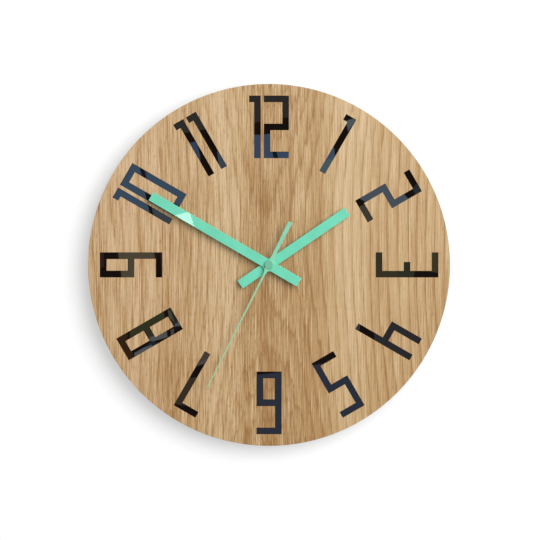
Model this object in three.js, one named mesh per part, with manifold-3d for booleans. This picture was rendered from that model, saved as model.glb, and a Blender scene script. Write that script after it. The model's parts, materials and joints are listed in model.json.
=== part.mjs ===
import * as THREE from 'three';
import { mergeVertices } from 'three/addons/utils/BufferGeometryUtils.js';
import Module from 'manifold-3d';

const wasm = await Module();
wasm.setup();

// Wooden wall clock with windows for numerals and a quartz movement behind the dial
// All lengths are millimetres and all named angles are degrees
// Inside the clock group x points right, y up, and z from the wall to the viewer
// z = 0 is the wall, and the hands turn about the z axis

// Clearances shared by all pieces
const seat = 0.3; // between pieces that rest on each other
const slip = 0.1; // between a shaft and its bore, on the radius
const runGap = 0.4; // between two turning pieces, along the shaft
const kerf = 0.2; // left by the laser round each loose counter
const overrun = 1; // how far a cutting solid passes the face that it cuts

// Side counts of the round shapes
const rimSides = 160;
const shaftSides = 20;
const pinSides = 12;
const cellSides = 32;
const cornerSteps = 4;

// Dial: an oak faced board with the numerals cut out, on one black disc
const board = { radius: 165, thickness: 3 };
const backing = { inset: 2, thickness: 2.5 };
const dialBore = { gap: 0.4 };

// Numerals: square cut digits that stand with their heads to the rim
const numeral = {
  height: 57,
  width: 22.8,
  stroke: 5.9,
  flag: 4.5,
  spacing: 3,
  shortBar: 14,
  margin: 10.7,
  loneOneShift: -2.5,
};

// Quartz movement case
const movement = { aboveAxis: 28, wall: 1.2, corner: 3, divider: 1, gearRoom: 0.79 };
const rim = { thickness: 0.8, height: 1 };
const latch = { width: 5, reach: 3.8, hook: 0.9, hookHeight: 1.2, lead: 0.6, gap: 0.4, side: 8, top: 16 };
const hanger = { outer: 10, inner: 7, thickness: 2.4 };
const knobWell = { gap: 0.7, wall: 0.8, floor: 1 };
const pivotBoss = { radius: 1.5, height: 0.6, bite: 0.4 };
const bridge = { thickness: 1, sideGap: 2.3, footGap: 0.8, coilGap: 3, chamfer: 3 };
const bridgePost = { radius: 1.6, pin: 0.7, pinRise: 0.4 };
const bridgePostShares = [[-0.89, -0.61], [-0.89, 0.76], [0.89, -0.67], [0.62, 0.84]];
const statorPost = { radius: 1.2, bearing: -45 };

// Bush, washers and nut that clamp the dial to the movement
const bush = { radius: 4, flange: 6, pastNut: 0.6, chamfer: 0.4 };
const rubberWasher = { radius: 12, thickness: 1 };
const brassWasher = { radius: 6, thickness: 0.6 };
const nut = { acrossFlats: 10, thickness: 2.5, chamfer: 0.5 };

// Shafts, one inside the other
const hourPipe = { radius: 2.5 };
const minutePipe = { radius: 1.675 };
const secondPin = { radius: 0.5 };

// Hands: flat bars for the hour and the minute, a needle for the seconds
const hourHand = { reach: 86, tail: 31.8, width: 8.7, boss: 6, thickness: 0.8, clock: 55.7 };
const minuteHand = { reach: 124, tail: 31.6, width: 8.7, boss: 6, thickness: 0.8, clock: 300.2 };
const hourCollet = { radius: 3.4, length: 2.4, step: 0.6, pipeDrop: 0.2 };
const minuteCollet = { radius: 2.6, length: 2.2, step: 0.5, pipeDrop: 0.2 };
const secondHand = {
  reach: 125,
  tail: 43.4,
  needleRoot: 2,
  needleTip: 1,
  tailRoot: 2.6,
  tailEnd: 4,
  hub: 4.05,
  flare: 9,
  flareWidth: 6.4,
  thickness: 0.4,
  clock: 206.6,
};
const secondCap = { radius: 3.8, height: 0.7, round: 0.35, tube: 1.2, tubeLead: 0.4, pinDrop: 0.1 };

// Battery, one round cell lying across the foot of the case
const cell = {
  radius: 7.25,
  can: 49.2,
  nub: 2.75,
  nubLength: 1.3,
  rim: 0.5,
  recess: 0.7,
  cap: 0.4,
  edge: 0.3,
  setBack: 0.5,
};
const strip = { thickness: 0.4, width: 7, leafDepth: 1.1, leafHalf: 5, foot: 3, footInset: 4 };

// Circuit and stepping motor
const circuit = { endGap: 1.8, width: 8.2, thickness: 0.8 };
const chip = { radius: 2.6, height: 1.1, shoulder: 2.1, placeShare: -0.36 };
const crystal = { radius: 1, length: 6, placeShare: -0.72 };
const stator = { rise: 3.3, thickness: 1, bore: 3.6, ring: 5, leg: 3 };
const core = { length: 21, width: 3, thickness: 1, wallGap: 4.3 };
const bobbin = { length: 14, flange: 1, tubeWall: 0.4, half: 4, top: 3.8, wallGap: 1 };
const winding = { half: 3.4, corner: 1.6 };
const magnet = { radius: 3, thickness: 2.8, bore: 0.75 };

// Wheels: tooth counts, modules and places along the shafts
const toothShape = { rootHalfShare: 0.26, tipHalfShare: 0.1, addendumShare: 0.8, dedendumShare: 1.15 };
const fine = { module: 0.28 };
const train = { module: 0.3 };
const motion = { module: 0.36 };
const teeth = {
  rotorPinion: 8,
  fifthWheel: 40,
  fifthPinion: 10,
  secondWheel: 60,
  secondPinion: 8,
  thirdWheel: 64,
  thirdPinion: 8,
  centreWheel: 60,
  cannonPinion: 15,
  minuteWheel: 45,
  minutePinion: 12,
  hourWheel: 48,
};
const wheel = { thickness: 1, motionThickness: 1.2, hourThickness: 1.4 };
const storey = { second: 1, third: 1.2, bridge: 0.9, centre: 0.6, minute: 0.5, hour: 0.5, cover: 0.6 };
const arborPin = { radius: 0.5, depth: 0.4 };
const minuteJournal = { radius: 1.4 };
const settingArbor = { radius: 0.6 };
const setKnob = { radius: 5.5, thickness: 1.5, ribs: 24, ribDepth: 0.4 };
const knobStem = { radius: 1.1, length: 5.7, dish: 3.6, dishDepth: 0.5 };
const bearing = { third: 150, setting: 70, fifth: -22, rotor: 25 };

// Places of the wheels along z, one storey after another from the rear wall to the cover
const bossTop = movement.wall + pivotBoss.height;
const fifthWheelRear = bossTop + 2 * seat;
const fifthWheelFront = fifthWheelRear + wheel.thickness;
const secondWheelRear = fifthWheelFront + storey.second;
const secondWheelFront = secondWheelRear + wheel.thickness;
const thirdWheelRear = secondWheelFront + storey.third;
const thirdWheelFront = thirdWheelRear + wheel.thickness;
const bridgeRear = thirdWheelFront + storey.bridge;
const bridgeFront = bridgeRear + bridge.thickness;
const centreWheelRear = bridgeFront + storey.centre;
const centreWheelFront = centreWheelRear + wheel.thickness;
const minuteWheelRear = centreWheelFront + storey.minute;
const minuteWheelFront = minuteWheelRear + wheel.motionThickness;
const hourWheelRear = minuteWheelFront + storey.hour;
const hourWheelFront = hourWheelRear + wheel.hourThickness;

// The case is as deep as the train and the cell need
const coverRear = Math.max(hourWheelFront + storey.cover, cell.setBack + 2 * cell.radius + seat);
const coverFront = coverRear + movement.wall;
const wallsFront = coverRear - seat;
const pinRear = movement.wall - arborPin.depth;
const pinFront = coverRear + arborPin.depth;
const bridgePinFront = bridgeFront - seat;

// Places of the dial and the hands along z
const rubberRear = coverFront + seat;
const backingRear = rubberRear + rubberWasher.thickness + seat;
const boardRear = backingRear + backing.thickness + seat;
const boardFront = boardRear + board.thickness;
const washerRear = boardFront + seat;
const nutRear = washerRear + brassWasher.thickness + seat;
const nutFront = nutRear + nut.thickness;
const bushFront = nutFront + bush.pastNut;
const hourColletRear = bushFront + runGap;
const hourColletFront = hourColletRear + hourCollet.length;
const minuteColletRear = hourColletFront + runGap;
const minuteColletFront = minuteColletRear + minuteCollet.length;
const secondTubeRear = minuteColletFront + runGap;
const secondBladeRear = secondTubeRear + secondCap.tubeLead;
const secondBladeFront = secondBladeRear + secondHand.thickness;
const secondCapRear = secondBladeFront + seat;

// Shaft places, at the distances that let the wheels mesh
const radians = THREE.MathUtils.degToRad;
const centreAt = new THREE.Vector2();
const polar = (length, degrees) => new THREE.Vector2(length, 0).rotateAround(centreAt, radians(degrees));
const pitchRadius = (module, count) => (module * count) / 2;
const tipRadius = (module, count) => pitchRadius(module, count) + toothShape.addendumShare * module;
const trainDistance = pitchRadius(train.module, teeth.secondPinion + teeth.thirdWheel);
const slowModule = (2 * trainDistance) / (teeth.thirdPinion + teeth.centreWheel);
const settingDistance = pitchRadius(motion.module, teeth.cannonPinion + teeth.minuteWheel);
const fifthDistance = pitchRadius(fine.module, teeth.fifthPinion + teeth.secondWheel);
const rotorDistance = pitchRadius(train.module, teeth.rotorPinion + teeth.fifthWheel);
const thirdAt = polar(trainDistance, bearing.third);
const settingAt = polar(settingDistance, bearing.setting);
const fifthAt = polar(fifthDistance, bearing.fifth);
const rotorAt = fifthAt.clone().add(polar(rotorDistance, bearing.rotor));

// Inside of the case: as wide as the cell and its strips, and as low as the wheels and the cell need
const cellLength = cell.can + cell.nubLength;
const inside = (cellLength + strip.leafDepth) / 2 + 2 * seat + strip.thickness;
const half = inside + movement.wall;
const insideTop = movement.aboveAxis - movement.wall;
const dividerHigh = fifthAt.y - tipRadius(train.module, teeth.fifthWheel) - movement.gearRoom;
const dividerLow = dividerHigh - movement.divider;
const cellY = dividerLow - seat - cell.radius;
const cellZ = coverRear - seat - cell.radius;
const insideFoot = cellY - cell.radius - seat;
const caseFoot = insideFoot - movement.wall;
const stripX = inside - seat - strip.thickness / 2;
const cellRear = stripX - strip.thickness / 2 - seat - cellLength;

// Circuit board along the top of the case, and the coil and the stator over it
const circuitHalf = inside - circuit.endGap;
const circuitRear = movement.wall + seat;
const circuitFront = circuitRear + circuit.thickness;
const circuitY = insideTop - seat - circuit.width / 2;
const statorRear = circuitFront + stator.rise;
const statorFront = statorRear + stator.thickness;
const coreX = inside - core.wallGap - core.length / 2;
const coreY = insideTop - bobbin.wallGap - bobbin.half;
const coreZ = statorFront + seat + core.thickness / 2;
const legX = bobbin.length / 2 + seat + stator.leg / 2;
const kneeY = coreY - bobbin.half - stator.leg / 2;

// Outlines, as lists of points in the plane of the dial
function circle(radius, sides, at = centreAt) {
  return Array.from({ length: sides }, (_, i) => {
    const turn = (2 * Math.PI * i) / sides;
    return new THREE.Vector2(at.x + radius * Math.cos(turn), at.y + radius * Math.sin(turn));
  });
}

const vectors = (points) => points.map(([x, y]) => new THREE.Vector2(x, y));

const rectangle = (left, bottom, right, top) =>
  vectors([[left, bottom], [right, bottom], [right, top], [left, top]]);

function roundedRectangle(left, bottom, right, top, corner) {
  const centres = [
    [right - corner, top - corner],
    [left + corner, top - corner],
    [left + corner, bottom + corner],
    [right - corner, bottom + corner],
  ];
  return vectors(centres).flatMap(({ x, y }, quarter) =>
    Array.from({ length: cornerSteps + 1 }, (_, i) => {
      const turn = (Math.PI / 2) * (quarter + i / cornerSteps);
      return new THREE.Vector2(x + corner * Math.cos(turn), y + corner * Math.sin(turn));
    }),
  );
}

// A band of even width along a line of points
function ribbon(points, width) {
  const line = vectors(points);
  const heading = (i) => line[i + 1].clone().sub(line[i]).normalize();
  const sides = [[], []];
  line.forEach((point, i) => {
    const before = heading(Math.max(i - 1, 0));
    const after = heading(Math.min(i, line.length - 2));
    const bisector = before.clone().add(after).normalize();
    const across = new THREE.Vector2(-bisector.y, bisector.x);
    const stretch = width / 2 / bisector.dot(after);
    sides[0].push(point.clone().addScaledVector(across, -stretch));
    sides[1].unshift(point.clone().addScaledVector(across, stretch));
  });
  return sides.flat();
}

// Straight sided teeth, narrow enough to run with backlash
function gearOutline(count, module, phase) {
  const pitch = (2 * Math.PI) / count;
  const tip = tipRadius(module, count);
  const root = pitchRadius(module, count) - toothShape.dedendumShare * module;
  const rootHalf = toothShape.rootHalfShare * pitch;
  const tipHalf = toothShape.tipHalfShare * pitch;
  const at = (radius, turn) => new THREE.Vector2(radius * Math.cos(turn), radius * Math.sin(turn));
  return Array.from({ length: count }, (_, i) => {
    const middle = phase + i * pitch;
    return [
      at(root, middle - rootHalf),
      at(tip, middle - tipHalf),
      at(tip, middle + tipHalf),
      at(root, middle + rootHalf),
    ];
  }).flat();
}

// The phase at which a second gear has a gap where the first has a tooth
function meshPhase(firstTeeth, firstPhase, secondTeeth, from, to) {
  const line = Math.atan2(to.y - from.y, to.x - from.x);
  return line + Math.PI + (firstTeeth / secondTeeth) * (line - firstPhase) - Math.PI / secondTeeth;
}

// Solids
function plate(outline, rear, front, holes = []) {
  const shape = new THREE.Shape(outline);
  shape.holes = holes.map((hole) => new THREE.Path(hole));
  const geometry = new THREE.ExtrudeGeometry(shape, { depth: front - rear, bevelEnabled: false });
  return geometry.translate(0, 0, rear);
}

const rod = (radius, rear, front, at = centreAt, sides = pinSides) =>
  plate(circle(radius, sides, at), rear, front);

const tube = (outer, bore, rear, front) =>
  plate(circle(outer, shaftSides), rear, front, [circle(bore, shaftSides)]);

// A body turned about z from its (radius, height) profile
const turned = (profile, sides) => new THREE.LatheGeometry(vectors(profile), sides).rotateX(Math.PI / 2);

function solid(geometry) {
  const bare = geometry.clone();
  bare.deleteAttribute('normal');
  bare.deleteAttribute('uv');
  const welded = mergeVertices(bare);
  const vertProperties = new Float32Array(welded.attributes.position.array);
  const triVerts = new Uint32Array(welded.index.array);
  return new wasm.Manifold(new wasm.Mesh({ numProp: 3, vertProperties, triVerts }));
}

function surface(body) {
  const { vertProperties, triVerts } = body.getMesh();
  const geometry = new THREE.BufferGeometry();
  geometry.setAttribute('position', new THREE.BufferAttribute(vertProperties, 3));
  geometry.setIndex(new THREE.BufferAttribute(triVerts, 1));
  geometry.computeVertexNormals();
  return geometry;
}

const join = (...geometries) => surface(geometries.map(solid).reduce((whole, piece) => whole.add(piece)));

const cut = (geometry, ...tools) =>
  surface(tools.map(solid).reduce((whole, tool) => whole.subtract(tool), solid(geometry)));

// Finishes
const finish = (color, roughness, metalness = 0) => () =>
  new THREE.MeshStandardMaterial({ color, roughness, metalness });
const oak = finish('#c19f72', 0.55);
const blackAcrylic = finish('#08090b', 0.08);
const mintPaint = finish('#78dec0', 0.22);
const rubber = finish('#191919', 0.9);
const brass = finish('#c9a24f', 0.3, 1);
const steel = finish('#b9bcc0', 0.3, 1);
const nickel = finish('#c8c6be', 0.25, 1);
const caseBlack = finish('#1b1c1e', 0.5);
const gearWhite = finish('#e6e4dc', 0.45);
const bridgeGreen = finish('#5c7f74', 0.5);
const boardGreen = finish('#2f6b45', 0.45);
const resin = finish('#101012', 0.35);
const softIron = finish('#8b8d90', 0.45, 1);
const copper = finish('#b4683a', 0.35, 1);
const magnetGrey = finish('#3c3d40', 0.5, 0.6);
const bobbinCream = finish('#d9cfae', 0.5);
const cellSleeve = finish('#3f6f8f', 0.3, 0.3);

const clock = new THREE.Group();
const dial = new THREE.Group();
const movementGroup = new THREE.Group();
const hands = new THREE.Group();
clock.add(dial, movementGroup, hands);

function add(group, name, geometry, material, at = centreAt) {
  const mesh = new THREE.Mesh(geometry, material());
  mesh.name = name;
  mesh.position.set(at.x, at.y, 0);
  group.add(mesh);
  return mesh;
}

// Numeral outlines, with the lower left corner of each digit at zero
const { width: wide, height: tall, stroke, flag, shortBar } = numeral;
const ringRadius = board.radius - numeral.margin - tall / 2;
const innerRight = wide - stroke;
const innerTop = tall - stroke;
const barLow = (tall - stroke) / 2;
const barHigh = (tall + stroke) / 2;
const fullBox = [[0, 0], [wide, 0], [wide, tall], [0, tall]];
const lowerCounter = [[stroke, stroke], [innerRight, stroke], [innerRight, barLow], [stroke, barLow]];
const upperCounter = [[stroke, barHigh], [innerRight, barHigh], [innerRight, innerTop], [stroke, innerTop]];
const wholeCounter = [[stroke, stroke], [innerRight, stroke], [innerRight, innerTop], [stroke, innerTop]];
const upside = (points) => points.map(([x, y]) => [wide - x, tall - y]);
const two = [
  [0, 0], [wide, 0], [wide, stroke], [stroke, stroke], [stroke, barLow], [wide, barLow],
  [wide, tall], [0, tall], [0, innerTop], [innerRight, innerTop], [innerRight, barHigh], [0, barHigh],
];
const six = [
  [0, 0], [wide, 0], [wide, barHigh], [stroke, barHigh], [stroke, innerTop], [wide, innerTop],
  [wide, tall], [0, tall],
];
const digits = {
  0: { width: wide, outline: fullBox, counters: [wholeCounter] },
  1: {
    width: flag + stroke,
    outline: [
      [flag, 0], [flag + stroke, 0], [flag + stroke, tall], [0, tall], [0, innerTop], [flag, innerTop],
    ],
    counters: [],
  },
  2: { width: wide, outline: two, counters: [] },
  3: {
    width: wide,
    outline: [
      [0, 0], [wide, 0], [wide, tall], [0, tall], [0, innerTop], [innerRight, innerTop],
      [innerRight, barHigh], [wide - shortBar, barHigh], [wide - shortBar, barLow], [innerRight, barLow],
      [innerRight, stroke], [0, stroke],
    ],
    counters: [],
  },
  4: {
    width: wide,
    outline: [
      [innerRight, 0], [wide, 0], [wide, tall], [innerRight, tall], [innerRight, barHigh],
      [stroke, barHigh], [stroke, tall], [0, tall], [0, barLow], [innerRight, barLow],
    ],
    counters: [],
  },
  5: { width: wide, outline: two.map(([x, y]) => [wide - x, y]), counters: [] },
  6: { width: wide, outline: six, counters: [lowerCounter] },
  7: {
    width: wide,
    outline: [[innerRight, 0], [wide, 0], [wide, tall], [0, tall], [0, innerTop], [innerRight, innerTop]],
    counters: [],
  },
  8: { width: wide, outline: fullBox, counters: [lowerCounter, upperCounter] },
  9: { width: wide, outline: upside(six), counters: [upside(lowerCounter)] },
};
const counterNames = {
  6: ['counter_six'],
  8: ['counter_eight_inner', 'counter_eight_outer'],
  9: ['counter_nine'],
  10: ['counter_ten'],
};

// One hour's digits, set round the dial
function hourNumeral(hour) {
  const glyphs = [...String(hour)].map((digit) => digits[digit]);
  const total = glyphs.reduce((sum, glyph) => sum + glyph.width, (glyphs.length - 1) * numeral.spacing);
  const shift = hour === 1 ? numeral.loneOneShift : 0;
  const turn = -radians(30 * hour);
  let left = shift - total / 2;
  const windows = [];
  const counters = [];
  for (const glyph of glyphs) {
    const offset = new THREE.Vector2(left, ringRadius - tall / 2);
    const place = (points) =>
      points.map(([x, y]) => new THREE.Vector2(x, y).add(offset).rotateAround(centreAt, turn));
    windows.push(place(glyph.outline));
    for (const counter of glyph.counters) {
      const [[x0, y0], , [x1, y1]] = counter;
      const [low, high] = [Math.min(x0, x1), Math.max(x0, x1)];
      const [foot, head] = [Math.min(y0, y1), Math.max(y0, y1)];
      counters.push(place([
        [low + kerf, foot + kerf], [high - kerf, foot + kerf],
        [high - kerf, head - kerf], [low + kerf, head - kerf],
      ]));
    }
    left += glyph.width + numeral.spacing;
  }
  return { windows, counters };
}

// Dial board, loose counters and the disc behind them
const numerals = Array.from({ length: 12 }, (_, i) => ({ hour: i + 1, ...hourNumeral(i + 1) }));
const windows = numerals.flatMap((entry) => entry.windows);
const dialBoreRadius = bush.radius + dialBore.gap;
const bushHole = circle(dialBoreRadius, shaftSides);
const boardBlank = plate(circle(board.radius, rimSides), boardRear, boardFront, [bushHole]);
const windowTools = windows.map((outline) => plate(outline, boardRear - overrun, boardFront + overrun));
add(dial, 'oak_board', cut(boardBlank, ...windowTools), oak);
for (const { hour, counters } of numerals) {
  counters.forEach((outline, i) => {
    add(dial, counterNames[hour][i], plate(outline, boardRear, boardFront), oak);
  });
}
const backingRim = circle(board.radius - backing.inset, rimSides);
const backingPlate = plate(backingRim, backingRear, backingRear + backing.thickness, [bushHole]);
add(dial, 'backing_disc', backingPlate, blackAcrylic);

// Clamp: rubber washer behind the dial, brass washer and nut in front of it
const boreThrough = bush.radius + slip;
const rubberFront = rubberRear + rubberWasher.thickness;
add(dial, 'rubber_washer', tube(rubberWasher.radius, dialBoreRadius, rubberRear, rubberFront), rubber);
const washerFront = washerRear + brassWasher.thickness;
add(dial, 'brass_washer', tube(brassWasher.radius, boreThrough, washerRear, washerFront), brass);
const nutCorner = nut.acrossFlats / Math.sqrt(3);
const nutBlank = plate(circle(nutCorner, 6), nutRear, nutFront, [circle(boreThrough, shaftSides)]);
const nutFlat = nut.acrossFlats / 2;
const nutEnvelope = turned(
  [[0, nutRear - overrun], [nutCorner, nutRear - overrun], [nutCorner, nutFront - nut.chamfer],
    [nutFlat, nutFront], [0, nutFront]],
  shaftSides,
);
add(dial, 'hex_nut', surface(solid(nutBlank).intersect(solid(nutEnvelope))), brass);

// Threaded bush, set in the front cover by its flange
const pipeBore = hourPipe.radius + slip;
const bushProfile = [
  [pipeBore, coverRear], [bush.flange, coverRear], [bush.flange, coverFront], [bush.radius, coverFront],
  [bush.radius, bushFront - bush.chamfer], [bush.radius - bush.chamfer, bushFront], [pipeBore, bushFront],
  [pipeBore, coverRear],
];
add(movementGroup, 'threaded_bush', turned(bushProfile, shaftSides), brass);

// A latch arm of the cover and its window in the case wall, given the wall's distance, the
// place along the wall and the wall's turn about z
const armRear = coverRear - latch.reach;

function latchArm(wallInside, along, turn) {
  const outside = wallInside - seat;
  const hookTop = armRear + latch.hookHeight;
  const profile = vectors([
    [outside - rim.thickness, armRear], [outside, armRear], [outside + latch.hook - latch.lead, armRear],
    [outside + latch.hook, armRear + latch.lead], [outside + latch.hook, hookTop], [outside, hookTop],
    [outside, coverRear + movement.wall / 2], [outside - rim.thickness, coverRear + movement.wall / 2],
  ]);
  const arm = plate(profile, -along - latch.width / 2, -along + latch.width / 2);
  return arm.rotateX(Math.PI / 2).rotateZ(turn);
}

function latchWindow(wallInside, along, turn) {
  const length = latch.hookHeight + 2 * latch.gap;
  const box = new THREE.BoxGeometry(movement.wall + 2 * overrun, latch.width + 2 * latch.gap, length);
  box.translate(wallInside + movement.wall / 2, along, armRear - latch.gap + length / 2);
  return box.rotateZ(turn);
}

const latches = [
  [inside, latch.side, 0],
  [inside, -latch.side, Math.PI],
  [insideTop, latch.top, Math.PI / 2],
  [insideTop, -latch.top, Math.PI / 2],
];

// Front cover: plate, locating rim, latch arms, and blind holes for two shafts
const rimSide = inside - seat;
const rimTop = insideTop - seat;
const rimFoot = dividerHigh + seat;
const rimSideInside = rimSide - rim.thickness;
const coverRim = plate(
  rectangle(-rimSide, rimFoot, rimSide, rimTop), coverRear - rim.height, coverRear + movement.wall / 2,
  [rectangle(-rimSideInside, rimFoot + rim.thickness, rimSideInside, rimTop - rim.thickness)],
);
const pivotHole = (at, radius, rear, front) => rod(radius + slip, rear, front, at, shaftSides);
const caseOutline = roundedRectangle(-half, caseFoot, half, movement.aboveAxis, movement.corner);
const coverPlate = plate(caseOutline, coverRear, coverFront, [circle(bush.flange + seat, shaftSides)]);
add(
  movementGroup,
  'front_cover',
  cut(
    join(coverPlate, coverRim, ...latches.map((place) => latchArm(...place))),
    pivotHole(thirdAt, arborPin.radius, coverRear - overrun, pinFront + seat),
    pivotHole(settingAt, settingArbor.radius, coverRear - overrun, pinFront + seat),
  ),
  caseBlack,
);

// Bridge plate that holds the middle of the train, and the places of its posts
const bridgeHalf = inside - bridge.sideGap;
const bridgeFoot = dividerHigh + bridge.footGap;
const bridgeTop = coreY - bobbin.half - bridge.coilGap;
const bridgePosts = bridgePostShares.map(([across, up]) =>
  new THREE.Vector2(across * bridgeHalf, up * (up < 0 ? -bridgeFoot : bridgeTop)),
);
const chamfered = (left, bottom, right, top, c) =>
  vectors([
    [left + c, bottom], [right - c, bottom], [right, bottom + c], [right, top - c],
    [right - c, top], [left + c, top], [left, top - c], [left, bottom + c],
  ]);
const thirdPass = tipRadius(slowModule, teeth.thirdPinion) + seat;
const bridgeHoles = [
  circle(minuteJournal.radius + slip, shaftSides),
  circle(thirdPass, shaftSides, thirdAt),
  circle(settingArbor.radius + slip, shaftSides, settingAt),
  circle(arborPin.radius + slip, shaftSides, fifthAt),
  circle(arborPin.radius + slip, shaftSides, rotorAt),
  ...bridgePosts.map((at) => circle(bridgePost.pin + seat, pinSides, at)),
];
const bridgeOutline = chamfered(-bridgeHalf, bridgeFoot, bridgeHalf, bridgeTop, bridge.chamfer);
add(movementGroup, 'gear_bridge', plate(bridgeOutline, bridgeRear, bridgeFront, bridgeHoles), bridgeGreen);

// Rear case: walls, battery bay open to the rear, knob well, posts and hanging loop
const caseWalls = plate(caseOutline, 0, wallsFront);
const pocketFront = wallsFront + overrun;
const gearPocket = plate(rectangle(-inside, dividerHigh, inside, insideTop), movement.wall, pocketFront);
const bayPocket = plate(rectangle(-inside, insideFoot, inside, dividerLow), -overrun, pocketFront);
const knobFront = seat + setKnob.thickness;
const wellDepth = knobFront + seat;
const wellTop = wellDepth + knobWell.floor;
const wellRadius = setKnob.radius + knobWell.gap;
const well = rod(wellRadius + knobWell.wall, 0, wellTop, settingAt, cellSides);
const wellBore = rod(wellRadius, -overrun, wellDepth, settingAt, cellSides);
const stemHole = pivotHole(settingAt, knobStem.radius, -overrun, wellTop + overrun);
const pivots = [centreAt, thirdAt, fifthAt, rotorAt];
const bosses = pivots.map((at) => rod(pivotBoss.radius, pivotBoss.bite, bossTop, at, shaftSides));
const bossHoles = pivots.map((at) => pivotHole(at, arborPin.radius, pinRear - seat, bossTop + overrun));
const bridgeSeats = bridgePosts.flatMap((at) => [
  rod(bridgePost.radius, pivotBoss.bite, bridgeRear - seat, at),
  rod(bridgePost.pin, pivotBoss.bite, bridgeFront + bridgePost.pinRise, at),
]);
const statorPosts = [
  new THREE.Vector2(coreX - legX, kneeY),
  new THREE.Vector2(coreX + legX, kneeY),
  rotorAt.clone().add(polar(stator.ring, statorPost.bearing)),
];
const statorSeats = statorPosts.map((at) => rod(statorPost.radius, pivotBoss.bite, statorRear - seat, at));
const loopMiddle = new THREE.Vector2(0, movement.aboveAxis);
const arch = (radius) => circle(radius, cellSides, loopMiddle).slice(0, cellSides / 2 + 1);
const loopFoot = movement.aboveAxis - movement.wall / 2;
const loopOutline = [
  ...arch(hanger.outer),
  new THREE.Vector2(-hanger.outer, loopFoot),
  new THREE.Vector2(-hanger.inner, loopFoot),
  ...arch(hanger.inner).reverse(),
  new THREE.Vector2(hanger.inner, loopFoot),
  new THREE.Vector2(hanger.outer, loopFoot),
];
const stripRear = circuitFront + seat;
const stripSlots = [1, -1].map((side) =>
  plate(
    rectangle(stripX - strip.thickness, dividerLow - overrun, inside, dividerHigh + overrun).map(
      ({ x, y }) => new THREE.Vector2(side * x, y),
    ),
    stripRear - seat,
    stripRear + strip.width + seat,
  ),
);
add(
  movementGroup,
  'rear_case',
  cut(
    join(
      cut(caseWalls, gearPocket, bayPocket),
      well,
      ...bosses,
      ...bridgeSeats,
      ...statorSeats,
      plate(loopOutline, 0, hanger.thickness),
    ),
    wellBore,
    stemHole,
    ...bossHoles,
    ...stripSlots,
    ...latches.map((place) => latchWindow(...place)),
  ),
  caseBlack,
);

// Circuit board, chip and crystal
const circuitOutline = rectangle(
  -circuitHalf, circuitY - circuit.width / 2, circuitHalf, circuitY + circuit.width / 2,
);
add(movementGroup, 'circuit_board', plate(circuitOutline, circuitRear, circuitFront), boardGreen);
const chipRear = circuitFront + seat;
const chipDome = turned(
  [[0, chipRear], [chip.radius, chipRear], [chip.shoulder, chipRear + chip.height / 2],
    [0, chipRear + chip.height]],
  shaftSides,
);
const chipAt = new THREE.Vector2(chip.placeShare * circuitHalf, circuitY);
add(movementGroup, 'driver_chip', chipDome, resin, chipAt);
const crystalCan = new THREE.CylinderGeometry(crystal.radius, crystal.radius, crystal.length, pinSides);
crystalCan.rotateZ(Math.PI / 2).translate(0, 0, circuitFront + seat + crystal.radius);
const crystalAt = new THREE.Vector2(crystal.placeShare * circuitHalf, circuitY);
add(movementGroup, 'quartz_crystal', crystalCan, nickel, crystalAt);

// Coil: core, bobbin and winding, all along x
const along = (outline, length, holes = []) =>
  plate(outline, -length / 2, length / 2, holes).rotateY(Math.PI / 2).translate(coreX, coreY, coreZ);
const box = (halfDepth, halfHeight) => rectangle(-halfDepth, -halfHeight, halfDepth, halfHeight);
add(movementGroup, 'coil_core', along(box(core.thickness / 2, core.width / 2), core.length), softIron);
const slotDepth = core.thickness / 2 + seat;
const slotHeight = core.width / 2 + seat;
const tubeDepth = slotDepth + bobbin.tubeWall;
const tubeHeight = slotHeight + bobbin.tubeWall;
const flangeOutline = rectangle(-bobbin.top, -bobbin.half, coreZ - circuitFront - seat, bobbin.half);
const flangeAt = (bobbin.length - bobbin.flange) / 2;
const coreSlot = along(box(slotDepth, slotHeight), bobbin.length + 2 * overrun);
add(
  movementGroup,
  'coil_bobbin',
  cut(
    join(
      along(box(tubeDepth, tubeHeight), bobbin.length),
      along(flangeOutline, bobbin.flange).translate(flangeAt, 0, 0),
      along(flangeOutline, bobbin.flange).translate(-flangeAt, 0, 0),
    ),
    coreSlot,
  ),
  bobbinCream,
);
const wrap = winding.half;
const windingOutline = roundedRectangle(-wrap, -wrap, wrap, wrap, winding.corner);
const windingLength = bobbin.length - 2 * bobbin.flange - 2 * seat;
add(
  movementGroup,
  'coil_winding',
  along(windingOutline, windingLength, [box(tubeDepth + slip, tubeHeight + slip)]),
  copper,
);

// Stator: a ring round the rotor with two legs to the ends of the core
const leg = (side) => {
  const foot = [rotorAt.x + (side * stator.ring) / 2, rotorAt.y + stator.ring / 2];
  const knee = [coreX + side * legX, kneeY];
  const head = [coreX + side * legX, coreY + core.width / 2];
  return plate(ribbon([foot, knee, head], stator.leg), statorRear, statorFront);
};
add(
  movementGroup,
  'stator_plate',
  cut(
    join(rod(stator.ring, statorRear, statorFront, rotorAt, shaftSides), leg(-1), leg(1)),
    rod(stator.bore, statorRear - overrun, statorFront + overrun, rotorAt, shaftSides),
  ),
  softIron,
);

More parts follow.
